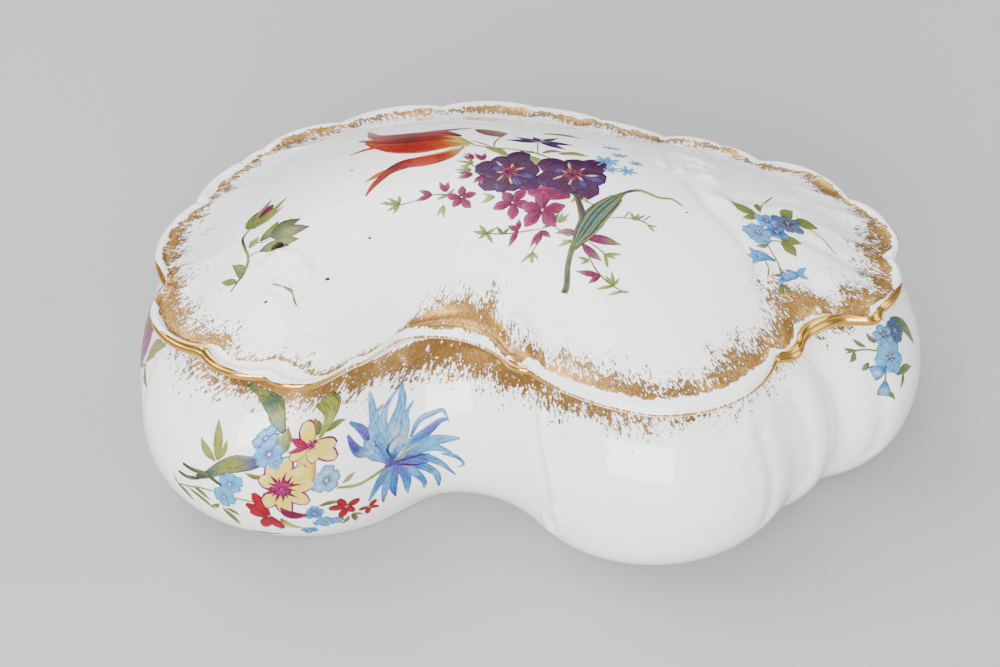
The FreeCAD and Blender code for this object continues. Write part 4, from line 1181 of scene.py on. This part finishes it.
for root, tip, wide in (
    ((309, 24.6), (313.6, 20.4), 1.1), ((313, 25.4), (320.2, 20.2), 0.9), ((315, 26.6), (319.4, 24), 0.9),
    ((309.4, 24.6), (308, 26.8), 0.6), ((321.8, 23.6), (318.8, 21.4), 0.8),
    ((322.4, 22.4), (324.6, 15.4), 1.1), ((323.4, 22.6), (326.6, 20.4), 0.9),
    ((331.4, 11.2), (325.6, 12), 1.1), ((331.2, 11.6), (333, 10.4), 0.8),
    ((346.6, 23.2), (352.4, 22.6), 0.9), ((352.4, 15.4), (349, 12.4), 0.8),
    ((353.4, 15.8), (352.4, 11.2), 1), ((353.4, 16), (355.6, 13.4), 0.8),
    ((344.4, 43.6), (341.4, 47.6), 1.7), ((345.4, 43.8), (350, 45.4), 1.2), ((334, 34), (329, 35), 0.8),
):
    leaf(root, tip, wide, [MOSS, OLIVE], bend=0.08, rib=DARK_LEAF, lift=2)
stroke([(345, 42.6), (345.4, 46.4), (344.4, 49.4), (341, 52)], 2.1, [OLIVE, PALE_LEAF, OLIVE, OLIVE],
       (0.25, 0.7, 1, 0.9), MOSS, 0.9, 3)
stroke([(352, 27.6), (357, 26), (361, 26.2), (368, 28.2)], 0.6, [OLIVE, PALE_LEAF, OLIVE, UMBER], EVEN_LINE,
       lift=3)
stroke([(353.6, 28.4), (357.2, 30.4)], 1, [ink(150, 154, 130), ink(176, 178, 160)], LEAF_BLADE, lift=2)


def narcissus(centre, tips, broad, eye, lift):
    """Yellow petals edged with a magenta line, round a magenta eye that frays outward."""
    for tip in tips:
        middle = (np.array(centre) + tip) / 2
        stroke([centre, middle, tip], broad * 1.07, [MAGENTA, ROSE, ROSE], ROUND_PETAL, veins=0.4,
               lift=lift)
        stroke([centre, middle, np.array(tip) * 0.965 + np.array(centre) * 0.035], broad,
               [LEMON, LEMON, PALE_LEMON], ROUND_PETAL, veins=0.15, lift=lift + 1)
    blossom(centre, eye, 15, [MAGENTA, MAGENTA, ROSE], 8, 1, 0.17, POINTED_PETAL, veins=0.9, lift=lift + 3,
            uneven=0.2)
    blossom(centre, eye * 0.62, 7, [MAGENTA, ink(186, 36, 130), MAGENTA], 20, 1, 0.34, veins=0.8,
            lift=lift + 5)


stroke([(343, 41), (343.6, 36), (344.6, 31)], 2.6, [PALE_LEMON, LEMON, LEMON], EVEN_LINE, ROSE, 0.3, 3)
narcissus((338.2, 30.8), [(332.8, 34.2), (334.6, 38), (338.6, 39.4), (343.4, 36.4), (346.4, 30.8),
                          (344.4, 25.2), (338.6, 21.8), (333.2, 24.8)], 2.3, 4.2, 4)
narcissus((343.4, 41.4), [(339.6, 47.4), (350, 40), (351.2, 36.4), (345.6, 36.8), (339.2, 38.4)], 1.9, 1.7,
          7)
for tip in ((337.8, 43.8), (338.4, 40.2)):
    stroke([(342.8, 41), tip], 1.1, [ROSE, ink(170, 70, 90), ROSE], lift=9)
stroke([(337.4, 24.6), (339.6, 21.4), (343.6, 20.6)], 1.7, [ink(150, 50, 80), MAGENTA, ink(170, 80, 96)],
       LEAF_BLADE, MAGENTA, 1, 8)
stroke([(336.6, 20.4), (337.6, 17), (340.2, 15)], 1.2, [MAGENTA, LEMON, LEMON], LEAF_BLADE, MAGENTA, 0.8, 8)


def red_pink(centre, tips, wide):
    """A small red flower with a dark eye."""
    for tip in tips:
        stroke([centre, tip], wide, [DEEP_CHERRY, CHERRY, CHERRY], ROUND_PETAL, DEEP_CHERRY, 1, 6)
    stamens(centre, 0.5, 4, [MAGENTA, CREAM], lift=9, size=0.25)


red_pink((334.2, 21.4), [(331.4, 29.4), (329.2, 25.6), (329.6, 22.8), (331.2, 16.4), (335.4, 15.4)], 1.6)
red_pink((353.2, 19.8), [(351.8, 23.6), (348.8, 21.4), (350.4, 16), (354.4, 16.8), (357.2, 20.8)], 1.3)
red_pink((358.4, 15.8), [(355.6, 16.4), (356.6, 12.8), (360.4, 13.8), (361.2, 17.6)], 1)


def forget_me_not(centre, radius, spin, tones):
    """Five round blue petals with a yellow ring at the heart."""
    blossom(centre, radius, 5, tones, spin, 1, 0.55, (0.3, 0.8, 1, 1, 0.95, 0.7), AZURE, 0.5, 7, inner=0.12)
    stamens(centre, radius * 0.16, 3, [STRAW, CREAM], lift=11, size=0.22)


for centre, radius, spin, tones in (
    ((332, 44), 2.9, 0, [AZURE, SKY, SKY]), ((334, 40.2), 3.6, 30, [LILAC, SKY, SKY]),
    ((325.6, 31.2), 3.1, 20, [AZURE, SKY, SKY]), ((323.8, 26.6), 2.9, 50, [AZURE, SKY, SKY]),
    ((349.2, 31), 3.7, 12, [SLATE, POWDER, SKY]), ((345, 21), 2.4, 0, [LILAC, AZURE, SKY]),
    ((346, 16.2), 2.4, 40, [AZURE, SKY, AZURE]), ((341, 13), 2, 20, [AZURE, AZURE, SKY]),
    ((349, 15.4), 1.8, 60, [AZURE, SKY, AZURE]), ((336, 38), 1.8, 10, [LILAC, SKY, SKY]),
):
    forget_me_not(centre, radius, spin, tones)

# The cornflower: long frilled petals round a pale cup, with dark folds.
for path, wide, tones in (
    ([(366.6, 30), (361.4, 36), (360, 43), (361.2, 45.4)], 2.8, [AZURE, SKY, POWDER, SKY]),
    ([(367.4, 31), (364, 38), (362.6, 44), (364.6, 48.2)], 1.9, [AZURE, SKY, POWDER, SKY]),
    ([(368.2, 31), (367, 38), (367.4, 44), (365, 48.6)], 2.3, [AZURE, POWDER, SKY, SKY]),
    ([(369.2, 31), (370.2, 37.6), (369.6, 41), (370.8, 44)], 1.5, [AZURE, POWDER, SKY, SKY]),
    ([(364.4, 32.6), (361.6, 39), (358.4, 44.6), (353.6, 50)], 1.5, [AZURE, SKY, SKY, POWDER]),
    ([(372, 35), (373.6, 39), (377, 40.6), (379.4, 41.2), (381.4, 38.6)], 0.9, [AZURE, SKY, SKY, SKY]),
    ([(370.6, 32), (375.6, 35.6), (379, 38.6), (381, 39.2)], 1.6, [SKY, AZURE, LILAC, AZURE]),
    ([(370.6, 31.2), (376.6, 33.2), (384.4, 34.4)], 1.9, [AZURE, SKY, SKY]),
    ([(370.6, 30.6), (377.4, 31.6), (382.6, 30)], 1.5, [AZURE, SKY, SKY]),
    ([(370.4, 29.4), (375.6, 28.6), (379.6, 26.4), (383, 22.4)], 1.4, [LILAC, AZURE, SKY, AZURE]),
    ([(370.2, 28.8), (374.6, 26.2), (378.2, 22.4), (378, 16.8)], 1.5, [LILAC, AZURE, SKY, AZURE]),
    ([(369.6, 28.2), (372.6, 24.4), (374.6, 20), (374, 16.4)], 1.5, [LILAC, SKY, AZURE, SKY]),
    ([(369, 28), (370.6, 22.6), (369.4, 15.4)], 1.5, [LILAC, AZURE, SKY]),
    ([(368.2, 27.8), (367, 22), (366, 15.4)], 1.6, [LILAC, AZURE, INDIGO]),
    ([(367.8, 28), (364.8, 20.8), (362.2, 14.8)], 1.4, [AZURE, SKY, AZURE]),
    ([(367.2, 28.4), (363.4, 23.4), (359.2, 18.2)], 1.4, [ink(150, 154, 150), AZURE, SKY]),
    ([(366, 30), (362.6, 35.4), (357, 41), (351.6, 44.4)], 1.5, [LILAC, INDIGO, LILAC, AZURE]),
    ([(366, 29.4), (362, 34), (357.6, 35.6), (352.6, 41.2)], 1.7, [LILAC, POWDER, INDIGO, LILAC]),
    ([(379.8, 29.6), (383.6, 28.8), (385.4, 26.6), (383.8, 25.4)], 0.7, [SKY, AZURE, SKY]),
):
    stroke(path, wide, tones, (0.4, 0.9, 1, 0.8, 0.55, 0.18), AZURE, 1, 6)
stroke([(365.6, 27.6), (368, 29.2), (371, 30.8)], 2, [LILAC, INDIGO, SKY], ROUND_PETAL, AZURE, 1, 7)
stroke([(367, 32), (368.6, 35.4), (371.6, 33.6)], 1.6, [POWDER, ink(206, 200, 214), POWDER], ROUND_PETAL,
       LILAC, 0.9, 9)
for path, tone in (
    ([(368, 29.4), (371.4, 31.6), (375, 33.4)], STRAW),
    ([(368.4, 28.6), (372.6, 29.2), (377, 29.8)], VIOLET),
    ([(368.6, 28), (373, 26.6), (376.4, 27)], VIOLET), ([(367.2, 30.4), (366, 33.6), (368, 36)], VIOLET),
    ([(368.8, 30.2), (371, 32.8)], CREAM),
):
    stroke(path, 0.45, [tone, tone], veins=0.6, lift=11)

# The bindweed spray on the right lobe.
for path in (
    [(520.6, 52), (522.6, 47), (519.4, 43), (516.6, 38)], [(522, 49), (527, 50), (531, 52)],
    [(522, 47), (517, 50), (511.6, 50.6)], [(520, 43), (524, 39.6), (529, 38.6)],
):
    stroke(path, 0.32, [MOSS, OLIVE, MOSS], EVEN_LINE, lift=2)
for root, tip, wide in (
    ((531, 52.4), (535.2, 41.2), 2.1), ((517.6, 50.6), (516.2, 53.4), 0.9),
    ((514.6, 50.6), (512, 51.8), 0.8), ((514, 50.2), (511.2, 48.2), 0.9),
    ((520.8, 50.4), (520.6, 53.4), 0.9), ((524.6, 39.6), (522, 36.4), 0.8),
    ((522, 40.4), (529.4, 38.4), 1.3), ((516.2, 46.6), (513, 45.4), 0.9),
    ((517, 37.6), (519.6, 34.4), 0.8),
):
    leaf(root, tip, wide, [BLUE_LEAF, OLIVE], bend=0.1, rib=DARK_LEAF, lift=2)
blossom((524.6, 50.8), 3.2, 5, [AZURE, SKY, SKY], 10, 0.9, 0.55, edge=AZURE, lift=4)
blossom((528.8, 49.4), 3.8, 6, [SLATE, ink(96, 110, 144), SLATE], 40, 0.9, 0.5, edge=AZURE, lift=3)
blossom((522.4, 45.4), 4.4, 7, [ink(150, 176, 214), SKY, SKY], 20, 1, 0.5, edge=AZURE, lift=6)
for centre in ((524.6, 50.8), (528.8, 49.4), (522.4, 45.4)):
    blossom(centre, 1.5, 6, [INDIGO, SLATE], 15, 0.9, 0.3, veins=0.5, lift=9)
    stamens(centre, 0.6, 4, [STRAW, CREAM], lift=11, size=0.26)
for path in ([(520, 44), (518, 43.6), (515.4, 43.4)], [(518, 40.6), (517.2, 38.6), (516.4, 36.8)]):
    stroke(path, 2.2, [SLATE, AZURE, POWDER, SKY], (0.2, 0.6, 1, 0.95), INDIGO, 0.9, 6)

# The peony on the far left, of which only a petal and a leaf show from the front.
leaf((281, 42.6), (289.4, 53.4), 2.6, [OLIVE, PALE_LEAF], bend=0.12, rib=MOSS)
leaf((281, 42), (286.4, 38.6), 1.8, [MOSS, OLIVE], bend=-0.1, rib=MOSS)
stroke([(281.6, 42), (274, 36), (262, 27), (256, 17)], 0.6, [OLIVE, MOSS, UMBER], EVEN_LINE, lift=2)
blossom((268, 43.6), 11, 7, [DEEP_CHERRY, CRIMSON, ROSE], 10, 0.9, 0.5, edge=BLUSH, veins=1, lift=3,
        uneven=0.14)
blossom((268, 43.8), 8, 6, [DEEP_CHERRY, MAGENTA, ROSE], 36, 0.9, 0.46, edge=BLUSH, veins=1, lift=5)
blossom((268, 44), 4.8, 5, [PLUM, DEEP_CHERRY, ROSE], 8, 0.9, 0.44, edge=CRIMSON, veins=1, lift=7)
stamens((268, 44), 1.4, 12, [STRAW, CREAM, ink(206, 140, 90)], lift=10, size=0.3)
for root, tip, wide in (
    ((262, 27), (254, 33), 2), ((259, 22), (268, 24), 1.9), ((257, 18), (249.6, 20.6), 1.5),
):
    leaf(root, tip, wide, [MOSS, OLIVE], bend=0.12, rib=DARK_LEAF)

# A small scattered spray on the back.
stroke([(176, 22), (168, 28), (158, 32), (148, 38)], 0.5, [UMBER, OLIVE, MOSS], EVEN_LINE, lift=2)
stroke([(166, 28.8), (162, 36), (160, 42)], 0.35, [OLIVE, MOSS], EVEN_LINE, lift=2)
for root, tip, wide in (
    ((172, 25), (178, 32), 1.6), ((168, 28), (166, 20), 1.5), ((160, 31.4), (154, 25.6), 1.7),
    ((152, 35.6), (144, 33.6), 1.4), ((161, 39), (166.4, 42.6), 1.3), ((176, 22), (182, 20), 1.2),
):
    leaf(root, tip, wide, [MOSS, OLIVE], bend=0.12, rib=DARK_LEAF)
narcissus((156, 35), [(150.6, 38), (153.6, 41.4), (159.6, 40.6), (161.6, 35.6), (158.4, 30.4),
                      (152.4, 31.4)], 2.2, 2.6, 4)
forget_me_not((147, 40), 3, 10, [AZURE, SKY, SKY])
forget_me_not((142.6, 36), 2.4, 40, [LILAC, AZURE, SKY])
red_pink((160.4, 44), [(157, 46.4), (160.6, 48.6), (164.4, 46.8), (163.6, 42)], 1.4)
finished_painting("base_painting", on_base, "base", base_enamel)


# ---- Floor, lights and camera ------------------------------------------------------------------
# A pale matt tabletop in a pale studio: large soft lights from the upper left and from above and behind, a
# window in front that the glaze mirrors, and a weak fill from the right.

bpy.ops.mesh.primitive_plane_add(size=6)
floor = bpy.context.object
floor.name = "floor"
floor_paint = bpy.data.materials.new("floor_paint")
floor_paint.use_nodes = True
floor_shader = floor_paint.node_tree.nodes["Principled BSDF"]
floor_shader.inputs["Base Color"].default_value = (0.40, 0.40, 0.40, 1)
floor_shader.inputs["Roughness"].default_value = 0.85
floor.data.materials.append(floor_paint)


BOX_MIDDLE = Vector((0, 0, 0.03))


def softbox(name, place, width, height, power, tint=(1, 1, 1)):
    """A soft rectangular light that points at the middle of the box."""
    light = bpy.data.lights.new(name, "AREA")
    light.shape = "RECTANGLE"
    light.size, light.size_y = width, height
    light.energy = power
    light.color = tint
    lamp = bpy.data.objects.new(name, light)
    lamp.location = place
    lamp.rotation_euler = (BOX_MIDDLE - Vector(place)).to_track_quat("-Z", "Y").to_euler()
    bpy.context.scene.collection.objects.link(lamp)


softbox("key", (-0.75, 0.25, 1.1), 1.5, 1.1, 22)
softbox("window", (-0.30, -1.3, 0.56), 1.2, 0.75, 50, (1.0, 0.99, 0.97))
softbox("fill", (1.2, -0.2, 0.6), 0.9, 0.9, 9)
softbox("top", (0.15, 0.5, 1.3), 2.2, 1.7, 19)
world = bpy.data.worlds.new("studio")
world.use_nodes = True
world.node_tree.nodes["Background"].inputs[0].default_value = (0.68, 0.68, 0.70, 1)
world.node_tree.nodes["Background"].inputs[1].default_value = 0.35
bpy.context.scene.world = world

camera_data = bpy.data.cameras.new("camera")
camera_data.lens = 107.3
camera_data.sensor_width = 36
camera_data.shift_x = -0.030
camera_data.shift_y = -0.0035
camera_data.clip_start = 0.01
camera = bpy.data.objects.new("camera", camera_data)
CAMERA_TARGET = Vector((-0.0004, -0.0027, 0.030))
CAMERA_TILT = math.radians(37)
CAMERA_DISTANCE = 0.76
camera_side = Vector((0, -math.cos(CAMERA_TILT), math.sin(CAMERA_TILT)))
camera.location = CAMERA_TARGET + CAMERA_DISTANCE * camera_side
camera.rotation_euler = (math.pi / 2 - CAMERA_TILT, 0, 0)
bpy.context.scene.collection.objects.link(camera)
bpy.context.scene.camera = camera
